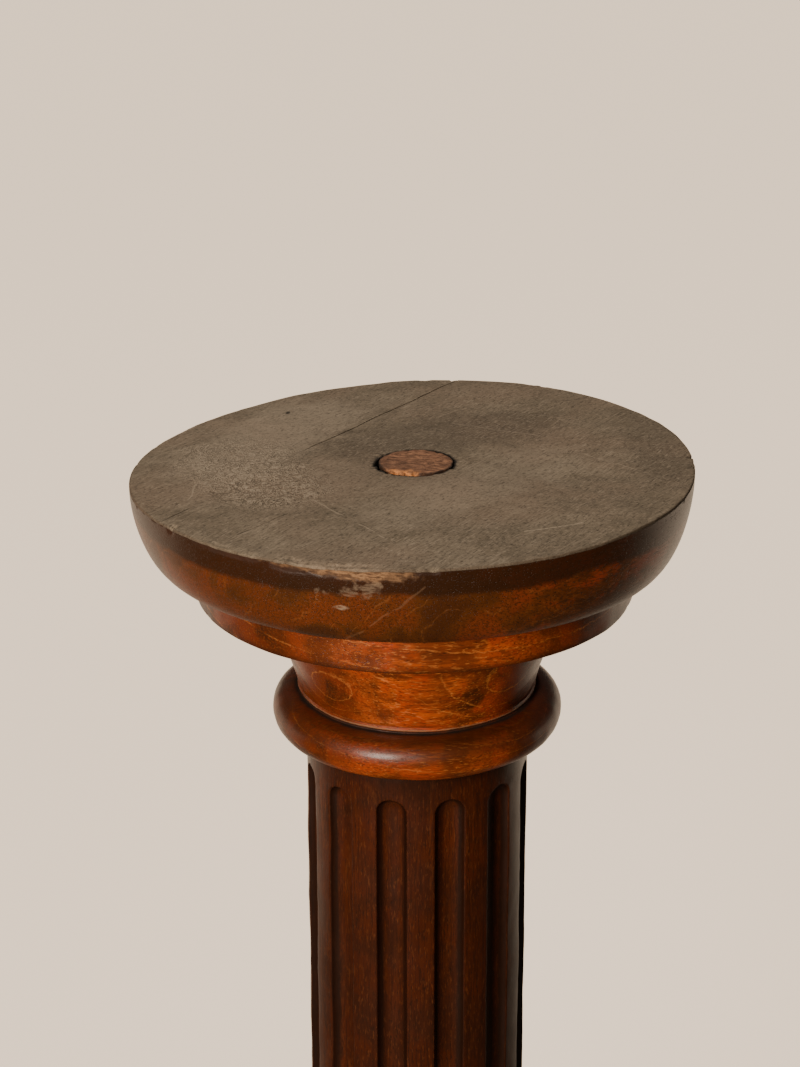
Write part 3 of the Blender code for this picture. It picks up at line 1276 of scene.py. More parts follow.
    def dress(self, sheet: Sheet, effects: Effects, shader: bpy.types.Node) -> None:
        """Feeds a material's shader.

        Args:
            sheet: The material's nodes.
            effects: The shared node groups.
            shader: The node that gives the surface its look.
        """
        place = sheet.place()
        face, face_relief = self.face(sheet, effects, place)
        edge, edge_relief, dirt = self.varnish.colour(sheet, effects, place)
        height = sheet.node("ShaderNodeSeparateXYZ", {"Vector": place}).outputs["Z"]
        level = height
        for scale, amount in ((14.0, 0.0110), (70.0, 0.0040)):
            ragged = sheet.sway(place, scale, 3.0)
            level = sheet.weighted(ragged, amount, level)
        band = sheet.span(level, self.stain_foot - 0.0018, self.stain_foot + 0.0018)
        edge = sheet.mix(sheet.times(band, 0.90), edge, self.stain)
        rub = marked(sheet, effects, place, self.rubs)
        scuff = marked(sheet, effects, place, self.scuffs)
        edge = sheet.mix(scuff, sheet.mix(rub, edge, self.rubbed), self.scuffed)
        bare = sheet.span(sheet.state("bare"), 0.35, 0.65)
        wood = sheet.mix(bare, edge, face)
        wood = sheet.mix(marked(sheet, effects, place, self.cracks), wood, self.crack)
        hollow = effects.grime.placed(sheet, place=place, dirt=sheet.state("dirt"), film=0.0)
        wood = sheet.mix(hollow["Mask"], wood, self.crack)
        rough = sheet.math("MULTIPLY", sheet.most(rub, scuff, sheet.state("worn")), 3.0, clamp=True)
        dull = sheet.most(bare, hollow["Mask"], rough)
        relief = sheet.between(bare, edge_relief, face_relief)
        surface = {
            "Base Color": wood,
            "Roughness": sheet.between(dull, self.varnish.roughness, 0.78),
            "Coat Weight": sheet.between(dull, 0.18, 0.0),
            "Normal": sheet.bump(relief, 0.00022, 0.8),
        }
        sheet.fill(shader, surface)


@dataclass(frozen=True)
class EndGrain:
    """The sawn end of the shaft's tenon.

    Attributes:
        light: Colour of the light streaks.
        dark: Colour of the dark streaks.
        fresh: Colour of the chipped edge.
        pore: Colour of the pores, and of the dirt and painted shade on the tenon's edge.
        chip: Where the edge is chipped.
    """

    light: Colour = (0.420, 0.195, 0.100)
    dark: Colour = (0.130, 0.054, 0.026)
    fresh: Colour = (0.66, 0.255, 0.080)
    pore: Colour = (0.028, 0.013, 0.007)
    chip: Mark = Mark((-0.009, -0.0170, 0.9990), (0.0110, 0.0062, 0.0040), ragged=0.45)

    def dress(self, sheet: Sheet, effects: Effects, shader: bpy.types.Node) -> None:
        """Feeds a material's shader.

        Args:
            sheet: The material's nodes.
            effects: The shared node groups.
            shader: The node that gives the surface its look.
        """
        place = sheet.place()
        grain = effects.grain.placed(
            sheet,
            place=place,
            along=(0.996, -0.087, 0.0),
            streak_width=0.0018,
            streak_length=0.0050,
            pore_width=0.0006,
            pore_length=0.0016,
        )
        dirt = effects.grime.placed(sheet, place=place, dirt=sheet.state("dirt"), film=0.5)
        wood = sheet.mix(sheet.span(grain["Streaks"], 0.3, 0.7), self.dark, self.light)
        wood = sheet.tint(wood, self.pore, grain["Pores"], 0.7)
        wood = sheet.mix(dirt["Film"], wood, self.dark)
        wood = sheet.mix(self.chip.mask(sheet, effects, place), wood, self.fresh)
        wood = sheet.mix(dirt["Mask"], wood, self.pore)
        relief = sheet.weighted(grain["Pores"], -1.0, grain["Streaks"])
        surface = {
            "Base Color": wood,
            "Roughness": sheet.between(grain["Streaks"], 0.75, 0.60),
            "Normal": sheet.bump(relief, 0.00025, 0.8),
        }
        sheet.fill(shader, surface)


Finish = Union[Varnish, BareTop, EndGrain]


def make_material(name: str, finish: Finish, effects: Effects) -> bpy.types.Material:
    """Makes a material.

    Args:
        name: The material's name.
        finish: What its surface looks like.
        effects: The shared node groups.

    Returns:
        The material.
    """
    material = bpy.data.materials.new(name)
    material.use_nodes = True
    shader = material.node_tree.nodes["Principled BSDF"]
    shader.inputs["Metallic"].default_value = 0.0
    shader.inputs["Specular IOR Level"].default_value = 0.32
    shader.inputs["Coat Roughness"].default_value = 0.20
    shader.inputs["Coat IOR"].default_value = 1.42
    finish.dress(Sheet(material.node_tree), effects, shader)
    return material


@dataclass
class Piece:
    """One piece of the column, which stands for one solid of the frame."""

    name: ClassVar[str] = ""
    node: ClassVar[str] = ""
    wood: ClassVar[str] = ""

    def __post_init__(self) -> None:
        """Reads the solid's box from the frame."""
        self.low, self.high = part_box(self.node)
        self.rim = (self.high.x - self.low.x) / 2

    def mesh(self) -> bpy.types.Mesh:
        """Makes the piece's mesh, without its materials."""
        raise NotImplementedError

    def finishes(self) -> dict[str, Finish]:
        """Returns the piece's finishes by the names of their materials."""
        raise NotImplementedError

    def build(self, effects: Effects) -> bpy.types.Object:
        """Makes the piece and sets it in place of its solid.

        Args:
            effects: The shared node groups.

        Returns:
            The piece.
        """
        mesh = self.mesh()
        for name, finish in self.finishes().items():
            mesh.materials.append(make_material(name, finish, effects))
        made = bpy.data.objects.new(self.name, mesh)
        bpy.context.scene.collection.objects.link(made)
        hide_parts(self.node)
        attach(made, "root")
        log.info("%s: %d faces for %s", self.name, len(mesh.polygons), self.node)
        return made


@dataclass
class TopBoard(Piece):
    """The round top, two boards glued edge to edge and turned as one.

    Attributes:
        foot_radius: Radius of the underside.
        band: Height of the upright band under the face.
        face_depth: How far under the face the wood still wears with it.
        groove_floor: How far under the solid's top the sunken face may lie.
        crease: The least angle of an edge that is drawn sharp.
        sink: How far the back-left board has sunk at the rim.
        sides: The number of points in each ring.
        rim_shift: How far the rim stands off the column's axis.
        nicks: Chips and rubs on the rim.
        grooves: Cracks in the face.
    """

    foot_radius: float = 0.13075
    band: float = 0.0039
    face_depth: float = 0.004
    groove_floor: float = 0.012
    crease: float = math.radians(48)
    sink: float = 0.0067
    sides: int = 720
    rim_shift: Pair = (-0.0028, 0.0010)
    nicks: tuple[Nick, ...] = (
        Nick(-106, 0.062, 0.0062, 0.0016),
        Nick(-128, 0.050, 0.0040, 0.0009),
        Nick(-143.3, 0.0045, 0.0042, 0.0022),
        Nick(-89.4, 0.0030, 0.0030, 0.0011),
        Nick(-86.2, 0.0052, 0.0026, 0.0010),
        Nick(1.1, 0.0040, 0.0034, 0.0014),
        Nick(-5.2, 0.0036, 0.0034, 0.0012),
        Nick(80.0, 0.0044, 0.0030, 0.0012),
    )
    grooves: tuple[Groove, ...] = (
        Groove((0.0271, 0.1466), (-0.0582, 0.0266), 0.0010, 0.0012),
        Groove((-0.1127, -0.0603), (-0.1250, -0.0778), 0.0009, 0.0006),
        Groove((-0.0632, -0.0711), (-0.0861, -0.0969), 0.0008, 0.0004),
    )
    name: ClassVar[str] = "top_board"
    node: ClassVar[str] = "top_disc"
    wood: ClassVar[str] = "top_wood"

    def outline(self) -> Outline:
        """Draws the section that is turned.

        Returns:
            The outline, with its points closest near the rim and the bore.
        """
        band = self.high.z - self.band
        points = [(BORE_RADIUS, self.high.z), (self.rim, self.high.z), (self.rim, band)]
        points += ovolo(self.rim, self.foot_radius, band, self.low.z)
        points += [(BORE_RADIUS, self.low.z)]
        outline = Outline.through(points).softened(0.0005)
        underside = outline.height < self.low.z + 0.001
        bore = outline.radius < BORE_RADIUS + 0.0002
        edge = (outline.radius < BORE_RADIUS + 0.006) | (outline.radius > self.rim - 0.004)
        return outline.thinned(np.select([underside, bore, edge], [0.012, 0.008, 0.0011], 0.0027))

    def tear(self, skin: Skin) -> None:
        """Tears the grain at the edge of the bore, most at its two sides.

        Args:
            skin: The piece's skin.
        """

        def beside_bore(reach: float) -> np.ndarray:
            """Returns how close the points of the face are to the bore, from 0 to 1."""
            away = np.maximum(skin.radius - BORE_RADIUS, 0.0)
            return np.exp(-away / reach) * (skin.height > self.high.z - self.face_depth)

        side = np.cos(skin.azimuth)
        ends = 0.22 + 0.70 * smooth(-side, 0.6, 1.0) + 0.45 * smooth(side, 0.7, 1.0)
        near = beside_bore(0.0022) * ends
        torn = near * np.clip(0.7 + 0.5 * ripples(skin.points, 0.004, 31), 0.1, 1.6)
        skin.move_out(0.0008 * torn)
        skin.points[..., 2] -= 0.0013 * torn
        # Dark ring round the bore: dirt in the torn grain, and painted shade in the gap round the tenon
        skin.at_least("dirt", np.clip(1.1 * near + beside_bore(0.0009), 0.0, 1.0))

    def warp(self, skin: Skin) -> None:
        """Sinks the back-left board, tilts the face a little and makes it uneven.

        Args:
            skin: The piece's skin.
        """
        share = np.clip((skin.height - self.low.z) / (self.high.z - self.low.z), 0.0, 1.0)
        x, y = skin.points[..., 0], skin.points[..., 1]
        beyond = np.maximum(y * math.cos(BOARD_ANGLE) - x * math.sin(BOARD_ANGLE), 0.0)
        drop = self.sink * (beyond / self.rim) ** 2 - 0.0118 * x - 0.0089 * y
        flat = smooth(skin.radius, BORE_RADIUS, BORE_RADIUS + 0.02)
        uneven = 0.00022 * ripples(skin.points, 0.075, 5) + 0.00007 * ripples(skin.points, 0.016, 6)
        skin.points[..., 2] += share * (uneven * flat - drop)
        skin.shift(-0.0010, self.rim_shift[0], 1.0)
        skin.points[..., 1] += self.rim_shift[1] * smooth(skin.radius, BORE_RADIUS, BORE_RADIUS + 0.030)

    def mesh(self) -> bpy.types.Mesh:
        """Makes the piece's mesh.

        Returns:
            The mesh, without its materials.
        """
        skin = Skin.turned(self.outline(), self.sides)
        inside = (skin.radius < BORE_RADIUS + 0.0003) & (skin.height < self.high.z - 0.0002)
        skin.bare[...] = (skin.height > self.high.z - 0.0009) & ~inside
        skin.dirt[skin.height > self.high.z - self.face_depth] = 0.0
        skin.dirt[inside] = 1.0
        small = small_nicks(11, 24, (0.003, 0.008), (0.0016, 0.0030), (1e-4, 5e-4))
        cut_nicks(skin, [*self.nicks, *small], (self.rim, self.high.z), 100)
        self.tear(skin)
        self.warp(skin)
        mesh = skin.mesh(self.name, closed=True)
        shape = bmesh.new()
        shape.from_mesh(mesh)
        for groove in self.grooves:
            groove.cut(shape, self.high.z - self.groove_floor)
        bmesh.ops.triangulate(shape, faces=[face for face in shape.faces if len(face.verts) > 4])
        shape.to_mesh(mesh)
        shape.free()
        mesh.shade_smooth()
        mesh.set_sharp_from_angle(angle=self.crease)
        return mesh

    def finishes(self) -> dict[str, Finish]:
        """Returns the piece's finishes by the names of their materials."""
        varnish = Varnish(
            deep=(0.066, 0.018, 0.0035),
            warm=(0.215, 0.054, 0.0085),
            line=(0.290, 0.100, 0.028),
            ruddy=(0.330, 0.046, 0.012),
            end_grain=(0.105, 0.030, 0.005),
            lay=Lay.BOARD,
            stack=(0.507, -0.359, -0.785),
            spacing=0.0130,
            waver=1.3,
            figure=0.42,
            roughness=0.34,
            edge_wear=0.7,
        )
        centre = (*self.rim_shift, 0.0)
        finish = BareTop(varnish, stain_foot=self.high.z - 0.0145, face_radius=self.rim, centre=centre)
        return {"worn_top_board": finish}


@dataclass
class TurnedCapital(Piece):
    """The capital, turned from one block: the lower disc, the flared neck and the astragal.

    Attributes:
        disc_height: Height of the lower disc.
        neck_top: Radius of the neck under the disc.
        neck_foot: Radius of the neck's foot.
        neck_height: Height of the neck.
        upright: Height of the neck's upright part.
        lip: How far the lip at the neck's foot stands out.
        quirk: Depth of the narrow groove round the neck's foot.
        bead_radius: Outer radius of the astragal.
        sides: The number of points in each ring.
        lean: How far the disc stands off the column's axis.
    """

    disc_height: float = 0.0232
    neck_top: float = 0.08125
    neck_foot: float = 0.063
    neck_height: float = 0.0568
    upright: float = 0.010
    lip: float = 0.0007
    quirk: float = 0.0008
    bead_radius: float = 0.07725
    sides: int = 576
    lean: float = -0.00126
    name: ClassVar[str] = "turned_capital"
    node: ClassVar[str] = "capital_block"
    wood: ClassVar[str] = "capital_wood"

    def __post_init__(self) -> None:
        """Reads the solid's box and finds the heights between its mouldings."""
        super().__post_init__()
        self.disc_foot = self.high.z - self.disc_height
        self.bead_top = self.disc_foot - self.neck_height

    def outline(self) -> Outline:
        """Draws the section that is turned.

        Returns:
            The outline from the top of the bore round to its foot.
        """
        points = [(BORE_RADIUS, self.high.z), (self.rim, self.high.z), (self.rim, self.disc_foot)]
        neck = flare(self.neck_top, self.neck_foot, self.disc_foot, self.bead_top, self.upright)
        points += [(radius, height) for radius, height in neck if height > self.bead_top + 0.0042]
        lip = self.neck_foot + self.lip
        points += [(self.neck_foot, self.bead_top + 0.0036), (lip, self.bead_top + 0.0018)]
        points += [(lip - self.quirk, self.bead_top + 0.0010), (lip - self.quirk, self.bead_top)]
        points += bead(self.bead_radius, self.bead_top, self.low.z)
        points += [(BORE_RADIUS, self.low.z)]
        outline = Outline.through(points).softened(0.0006)
        hidden = (outline.radius < self.neck_foot - 0.004) | (outline.height > self.high.z - 0.0002)
        return outline.thinned(np.where(hidden, 0.012, 0.0021))

    def mesh(self) -> bpy.types.Mesh:
        """Makes the piece's mesh.

        Returns:
            The mesh, without its materials.
        """
        skin = Skin.turned(self.outline(), self.sides)
        out = skin.radius - self.neck_foot
        on_bead = skin.height < self.bead_top + 0.0012
        upper = on_bead & (skin.height > (self.bead_top + self.low.z) / 2)
        skin.dirt *= 0.5
        # Dark groove where the neck meets the astragal: painted shade, with some dirt
        skin.at_least("dirt", np.exp(-np.abs(out - 0.001) / 0.0020) * upper)
        # Darker on the astragal's upper side and next to the neck's foot: painted shade on the faces that
        # look up, set as thick stain
        fall = smooth(skin.height, self.low.z + 0.003, self.bead_top - 0.003)
        groove_shade = 1 - smooth(out, 0.004, 0.011)
        skin.stain[...] = (0.06 + 0.62 * fall + 0.75 * groove_shade) * on_bead
        # A darker stain on the lower disc's side, and painted shade on its rounded lower edge, which faces
        # down
        disc_side = smooth(skin.radius, self.rim - 0.004, self.rim - 0.001)
        disc_side *= skin.height < self.high.z - 0.001
        low = smooth(skin.height, self.disc_foot + 0.0035, self.disc_foot + 0.0010)
        skin.at_least("stain", disc_side * (0.30 + 0.55 * low))
        # Pale line on the lip at the neck's foot: painted highlight, set as rubbed wood
        lip = np.abs(skin.height - self.bead_top - 0.0019) < 0.0007
        skin.at_least("worn", 0.85 * (lip & (out > -0.001) & (out < 0.003)))
        skin.dirt[skin.radius < BORE_WALL] = 1.0
        skin.roughen(TURNED_RIPPLES, 8)
        small = small_nicks(12, 26, (0.003, 0.008), 0.0028, (2e-4, 6e-4))
        cut_nicks(skin, small, (self.rim, self.disc_foot), 200)
        skin.worn *= 1 - 0.80 * disc_side * low
        skin.shift(-0.0009, self.lean, smooth(skin.height, self.bead_top, self.disc_foot))
        return skin.mesh(self.name, closed=True)

    def finishes(self) -> dict[str, Finish]:
        """Returns the piece's finishes by the names of their materials."""
        varnish = Varnish(
            deep=(0.165, 0.029, 0.0045),
            warm=(0.800, 0.148, 0.018),
            line=(0.860, 0.300, 0.070),
            ruddy=(0.480, 0.058, 0.009),
            end_grain=(0.036, 0.0095, 0.0022),
            eyes=(
                Eye((-0.0465, -0.048, 0.892), (0.026, 0.026, 0.016), 2.50),
                Eye((0.047, -0.047, 0.893), (0.052, 0.052, 0.026), 3.62),
            ),
            spacing=0.0120,
            waver=0.22,
            roughness=0.38,
            figure=0.52,
        )
        return {"varnished_capital": varnish}


@dataclass
class CarvedShaft(Piece):
    """The fluted shaft, turned and carved from one length, with a tenon at each end.

    Attributes:
        top_radius: Radius at the top.
        foot_radius: Radius at the foot.
        flutes: The number of flutes.
        flute_width: Width of a flute.
        flute_depth: Depth of a flute.
        flute_stop: Length of plain shaft beyond a flute's end.
        flute_turn: Direction of the first flute.
        flute_tip: Half the width of the blunt tip of a flute's round end.
        spread: How far past a flute's end the points of a ring are spread out again.
        worn_down: How much of the tenon's end has worn away at the top.
        seat: The gap between each shoulder and the piece that it bears on.
        crease: The least angle of an edge that is drawn sharp.
    """

    top_radius: float = 0.0594
    foot_radius: float = 0.0620
    flutes: int = 12
    flute_width: float = 0.0162
    flute_depth: float = 0.0054
    flute_stop: float = 0.0165
    flute_turn: float = math.radians(-103.5)
    flute_tip: float = 0.0004
    spread: float = 0.0132
    worn_down: float = 0.0020
    seat: float = 0.0003
    crease: float = math.radians(50)
    name: ClassVar[str] = "carved_shaft"
    node: ClassVar[str] = "fluted_shaft"
    wood: ClassVar[str] = "shaft_wood"

    def __post_init__(self) -> None:
        """Reads the solid's box and its neighbours' heights from the frame."""
        super().__post_init__()
        self.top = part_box("capital_block")[0].z - self.seat
        self.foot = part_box("base_block")[1].z + self.seat

    def radius_at(self, height: np.ndarray) -> np.ndarray:
        """Returns the plain shaft's radius at a height."""
        share = (height - self.foot) / (self.top - self.foot)
        return self.foot_radius + (self.top_radius - self.foot_radius) * share

    def columns(self, past: float) -> tuple[np.ndarray, np.ndarray, np.ndarray]:
        """Returns the places of one ring's points.

        Args:
            past: How far beyond the flutes' straight part the ring lies.

        Returns:
            The points' angles, the depth of the flute there, and how close each is to a flute's edge.
        """
        half = self.flute_width / 2
        spread = half * min((past - half) / self.spread, 1.0)
        reach = max(math.sqrt(max(half ** 2 - past ** 2, 0.0)), self.flute_tip, spread)
        pitch = 2 * math.pi / self.flutes
        edge = math.asin(reach / self.top_radius)
        side = np.sin(math.pi / 2 * np.linspace(-1, 1, 17))
        away = np.minimum(np.hypot(reach * side, past), half)
        cut = self.flute_depth * np.sqrt(np.maximum(1 - (away / half) ** 2.1, 0.0))
        fillet = np.array([0.03, 0.08, 0.18, 0.34, 0.5, 0.66, 0.82, 0.92, 0.97])
        angle = np.concatenate([edge * side, edge + (pitch - 2 * edge) * fillet])
        depth = np.concatenate([cut, np.zeros(len(fillet))])
        beside = [0.7, 0.2, 0, 0, 0, 0, 0, 0.2, 0.7]
        arris = np.concatenate([smooth(away, half * 0.93, half), beside]) * (past <= half)
        turns = self.flute_turn + pitch * np.arange(self.flutes)
        return (turns[:, None] + angle).ravel(), np.tile(depth, self.flutes), np.tile(arris, self.flutes)

    def levels(self) -> tuple[np.ndarray, np.ndarray]:
        """Places the carved rings, closest at the flutes' round ends.

        Returns:
            The rings' heights, and how far past the straight flutes each one is.
        """
        half = self.flute_width / 2
        straight_top = self.top - self.flute_stop - half
        straight_foot = self.foot + self.flute_stop + half
        ends = half * np.cos(math.pi / 2 * np.linspace(0, 1, 12))
        straight = np.linspace(straight_top, straight_foot, 118)[1:-1]
        heights = np.concatenate([straight_top + ends, straight, straight_foot - ends[::-1]])
        past = np.concatenate([ends, np.zeros(len(straight)), ends[::-1]])
        plain = self.spread * np.array([1.0, 2.0, 4.0, 8.0, 11.0]) / 11.0
        heights = np.concatenate([heights[0] + plain[::-1], heights, heights[-1] - plain])
        return heights, np.concatenate([half + plain[::-1], past, half + plain])

    def carved(self) -> Skin:
        """Carves the fluted part.

        Returns:
            Its skin.
        """
        heights, past = self.levels()
        rows = [self.columns(beyond) for beyond in past]
        angle, depth, arris = (np.array([row[part] for row in rows]) for part in range(3))
        soft = (np.roll(depth, 1, axis=1) + 2 * depth + np.roll(depth, -1, axis=1)) / 4
        soft[1:-1] = (soft[:-2] + 2 * soft[1:-1] + soft[2:]) / 4
        radius = self.radius_at(heights)[:, None] - soft
        level = heights[:, None] * np.ones_like(angle)
        points = np.stack([radius * np.cos(angle), radius * np.sin(angle), level], axis=-1)
        # Thick stain that is mostly painted shade: on the flutes' side walls (with some dirt), right under
        # the astragal, and darker from a few centimetres below the top downwards; darker towards the foot
        # too
        side = smooth(soft, 0.0, 0.0008) * (1 - smooth(soft, 0.0026, 0.0046))
        stain = 0.95 * side + 0.95 * np.exp(-(self.top - level) / 0.013)
        stain += 0.25 * np.exp(-(level - self.foot) / 0.02)
        stain += 0.28 * smooth(level, self.top - 0.03, self.top - 0.09)
        # The flutes' edges are set as worn: rubbed wood, and painted highlights along the edges
        skin = Skin(points, np.zeros_like(stain), arris * 0.8, 0.2 * soft / self.flute_depth, stain)
        skin.roughen(((0.040, 0.00013), (0.009, 0.00005)), 21)
        return skin

    def ends(self, skin: Skin, side: int) -> Skin:
        """Returns the shoulder and tenon at one end.

        Args:
            skin: The fluted part.
            side: 1 for the top and -1 for the foot.

        Returns:
            The end's rings, from the shaft outwards.
        """
        angle = np.arctan2(skin.points[60, :, 1], skin.points[60, :, 0])
        shoulder = self.top if side > 0 else self.foot
        wide = float(self.radius_at(np.array(shoulder)))
        tip = self.high.z - self.worn_down if side > 0 else self.low.z
        soft = 0.0007
        run = [(wide, shoulder - side * 0.0012), (wide - 0.00025, shoulder - side * 0.0004)]
        run += [(radius, shoulder) for radius in (wide - 0.0008, 0.045, 0.030, TENON_RADIUS + 0.0004)]
        heights = np.linspace(shoulder + side * 0.001, tip - side * 0.006, 12)
        run += [(TENON_RADIUS, float(height)) for height in heights]
        run += [(TENON_RADIUS, tip - side * drop) for drop in (0.0045, 0.0030, 0.0020, 0.0013)]
        run += [(TENON_RADIUS - soft * 0.3, tip - side * soft * 0.35), (TENON_RADIUS - soft, tip)]
        run += [(radius, tip) for radius in np.linspace(TENON_RADIUS - 0.002, 0.0012, 13)]
        radius, height = (np.array([pair[axis] for pair in run])[:, None] for axis in (0, 1))
        points = np.stack([radius * np.cos(angle), radius * np.sin(angle), height + 0 * angle], axis=-1)
        flat = np.zeros(points.shape[:2])
        inside = (radius < 0.05) & (height * side < (tip - side * 0.0008) * side)
        end = Skin(points, flat.copy(), flat.copy(), flat + inside, flat.copy())
        end.dirt[(end.height * side > (tip - side * 0.004) * side)] *= 0.5
        # Dark round the tenon's edge and on its side: dirt, and painted shade on the side that stands proud
        # of the top
        rim = smooth(radius, TENON_RADIUS - 0.0016, TENON_RADIUS - 0.0002) * np.ones_like(end.dirt)
        end.at_least("dirt", 0.85 * rim)
        return end

    def rough_end(self, skin: Skin) -> None:
        """Chips the front-left edge of the tenon's end, and makes its face uneven.

        Args:
            skin: The shaft's skin.
        """
        tip = self.high.z - self.worn_down
        near = smooth(skin.height, tip - 0.0045, tip - 0.0005) * (skin.radius < TENON_RADIUS + 0.001)
        turn = np.angle(np.exp(1j * (skin.azimuth - math.radians(-117))))
        chip = near * (1 - smooth(np.abs(turn), 0.35, 0.62))
        chip *= smooth(skin.radius, TENON_RADIUS - 0.004, TENON_RADIUS)
        ragged = np.clip(0.8 + 0.35 * ripples(skin.points, 0.004, 41), 0.3, 1.4)
        skin.points[..., 2] -= 0.0019 * chip * ragged
        skin.move_out(-0.0008 * chip * ragged)
        edge = smooth(skin.radius, TENON_RADIUS - 0.002, TENON_RADIUS) * near
        skin.move_out(0.00018 * edge * ripples(skin.points, 0.006, 42))
        skin.points[..., 2] += 0.00012 * near * ripples(skin.points, 0.005, 43)
        skin.at_least("worn", chip)
        skin.dirt *= 1 - 0.9 * chip
        skin.points[..., 0] -= 0.0005 * smooth(skin.height, self.top, tip)

    def mesh(self) -> bpy.types.Mesh:
        """Makes the piece's mesh.

        Returns:
            The mesh, without its materials.
        """
        middle = self.carved()
        above, below = self.ends(middle, 1), self.ends(middle, -1)
        fields = {}
        for name in ("points", *STATES):
            parts = [getattr(above, name)[::-1], getattr(middle, name), getattr(below, name)]
            fields[name] = np.concatenate(parts)
        skin = Skin(**fields)
        self.rough_end(skin)
        mesh = skin.mesh(self.name, closed=False)
        end_faces = [face for face in mesh.polygons if face.center.z > self.top + 0.001]
        for face in end_faces:
            face.material_index = 1
        mesh.set_sharp_from_angle(angle=self.crease)
        return mesh

    def finishes(self) -> dict[str, Finish]:
        """Returns the piece's finishes by the names of their materials."""
        varnish = Varnish(
            deep=(0.038, 0.0078, 0.0020),
            warm=(0.094, 0.0185, 0.0038),
            line=(0.200, 0.058, 0.016),
            ruddy=(0.110, 0.0160, 0.0030),
            redness=0.30,
            dark_stain_and_shade=(0.013, 0.0040, 0.0016),
            lay=Lay.UPRIGHT,
            stack=(0.6, 0.8, 0.0),
            spacing=0.0140,
            waver=0.5,
            roughness=0.40,
            edge_wear=0.50,
            streak_width=0.0035,
            figure=0.25,
            ring_lines=0.25,
        )
        return {"varnished_shaft": varnish, "tenon_end_grain": EndGrain()}


@dataclass
class TurnedBase(Piece):
    """The base, turned from one block: the bead, the cove and the step.

    Attributes:
        bead_radius: Outer radius of the bead.
        bead_height: Height of the bead.
        neck_top: Radius at the top of the cove.
        neck_foot: Radius at the foot of the cove.
        step_height: Height of the step.
        upright: Height of the cove's upright part.
        sides: The number of points in each ring.
    """

    bead_radius: float = 0.081
    bead_height: float = 0.026
    neck_top: float = 0.066
    neck_foot: float = 0.088
    step_height: float = 0.024
    upright: float = 0.010
    sides: int = 512
    name: ClassVar[str] = "turned_base"
    node: ClassVar[str] = "base_block"
    wood: ClassVar[str] = "base_wood"

    def __post_init__(self) -> None:
        """Reads the solid's box and finds the height of its step."""
        super().__post_init__()
        self.step_top = self.low.z + self.step_height

    def outline(self) -> Outline:
        """Draws the section that is turned.

        Returns:
            The outline from the top of the bore round to its foot.
        """
        bead_foot = self.high.z - self.bead_height
        points = [(BORE_RADIUS, self.high.z)] + bead(self.bead_radius, self.high.z, bead_foot)
        points += reversed(flare(self.neck_foot, self.neck_top, self.step_top, bead_foot, self.upright))
        points += [(self.rim, self.step_top), (self.rim, self.low.z), (BORE_RADIUS, self.low.z)]
        outline = Outline.through(points).softened(0.0007)
        hidden = (outline.radius < self.neck_top - 0.006) | (outline.height < self.low.z + 0.0002)
        return outline.thinned(np.where(hidden, 0.012, 0.0028))

    def mesh(self) -> bpy.types.Mesh:
        """Makes the piece's mesh.

        Returns:
            The mesh, without its materials.
        """
        skin = Skin.turned(self.outline(), self.sides)
        skin.dirt[skin.radius < BORE_WALL] = 1.0
        # Darker in the corner between the cove and the step
        corner = np.hypot(skin.radius - self.neck_foot, skin.height - self.step_top)
        skin.at_least("dirt", 0.9 * np.exp(-corner / 0.004))
        skin.roughen(TURNED_RIPPLES, 51)
        small = small_nicks(13, 24, (0.003, 0.009), 0.003, (2e-4, 8e-4))
        cut_nicks(skin, small, (self.rim, self.step_top), 300)
        return skin.mesh(self.name, closed=True)

    def finishes(self) -> dict[str, Finish]:
        """Returns the piece's finishes by the names of their materials."""
        varnish = Varnish(
            deep=(0.075, 0.018, 0.004),
            warm=(0.240, 0.054, 0.009),
            line=(0.340, 0.130, 0.036),
            ruddy=(0.200, 0.030, 0.006),
            eyes=(Eye((-0.050, -0.058, 0.090)), Eye((0.066, -0.040, 0.100))),
            spacing=0.0120,
            roughness=0.36,
            figure=0.50,
        )
        return {"varnished_base": varnish}


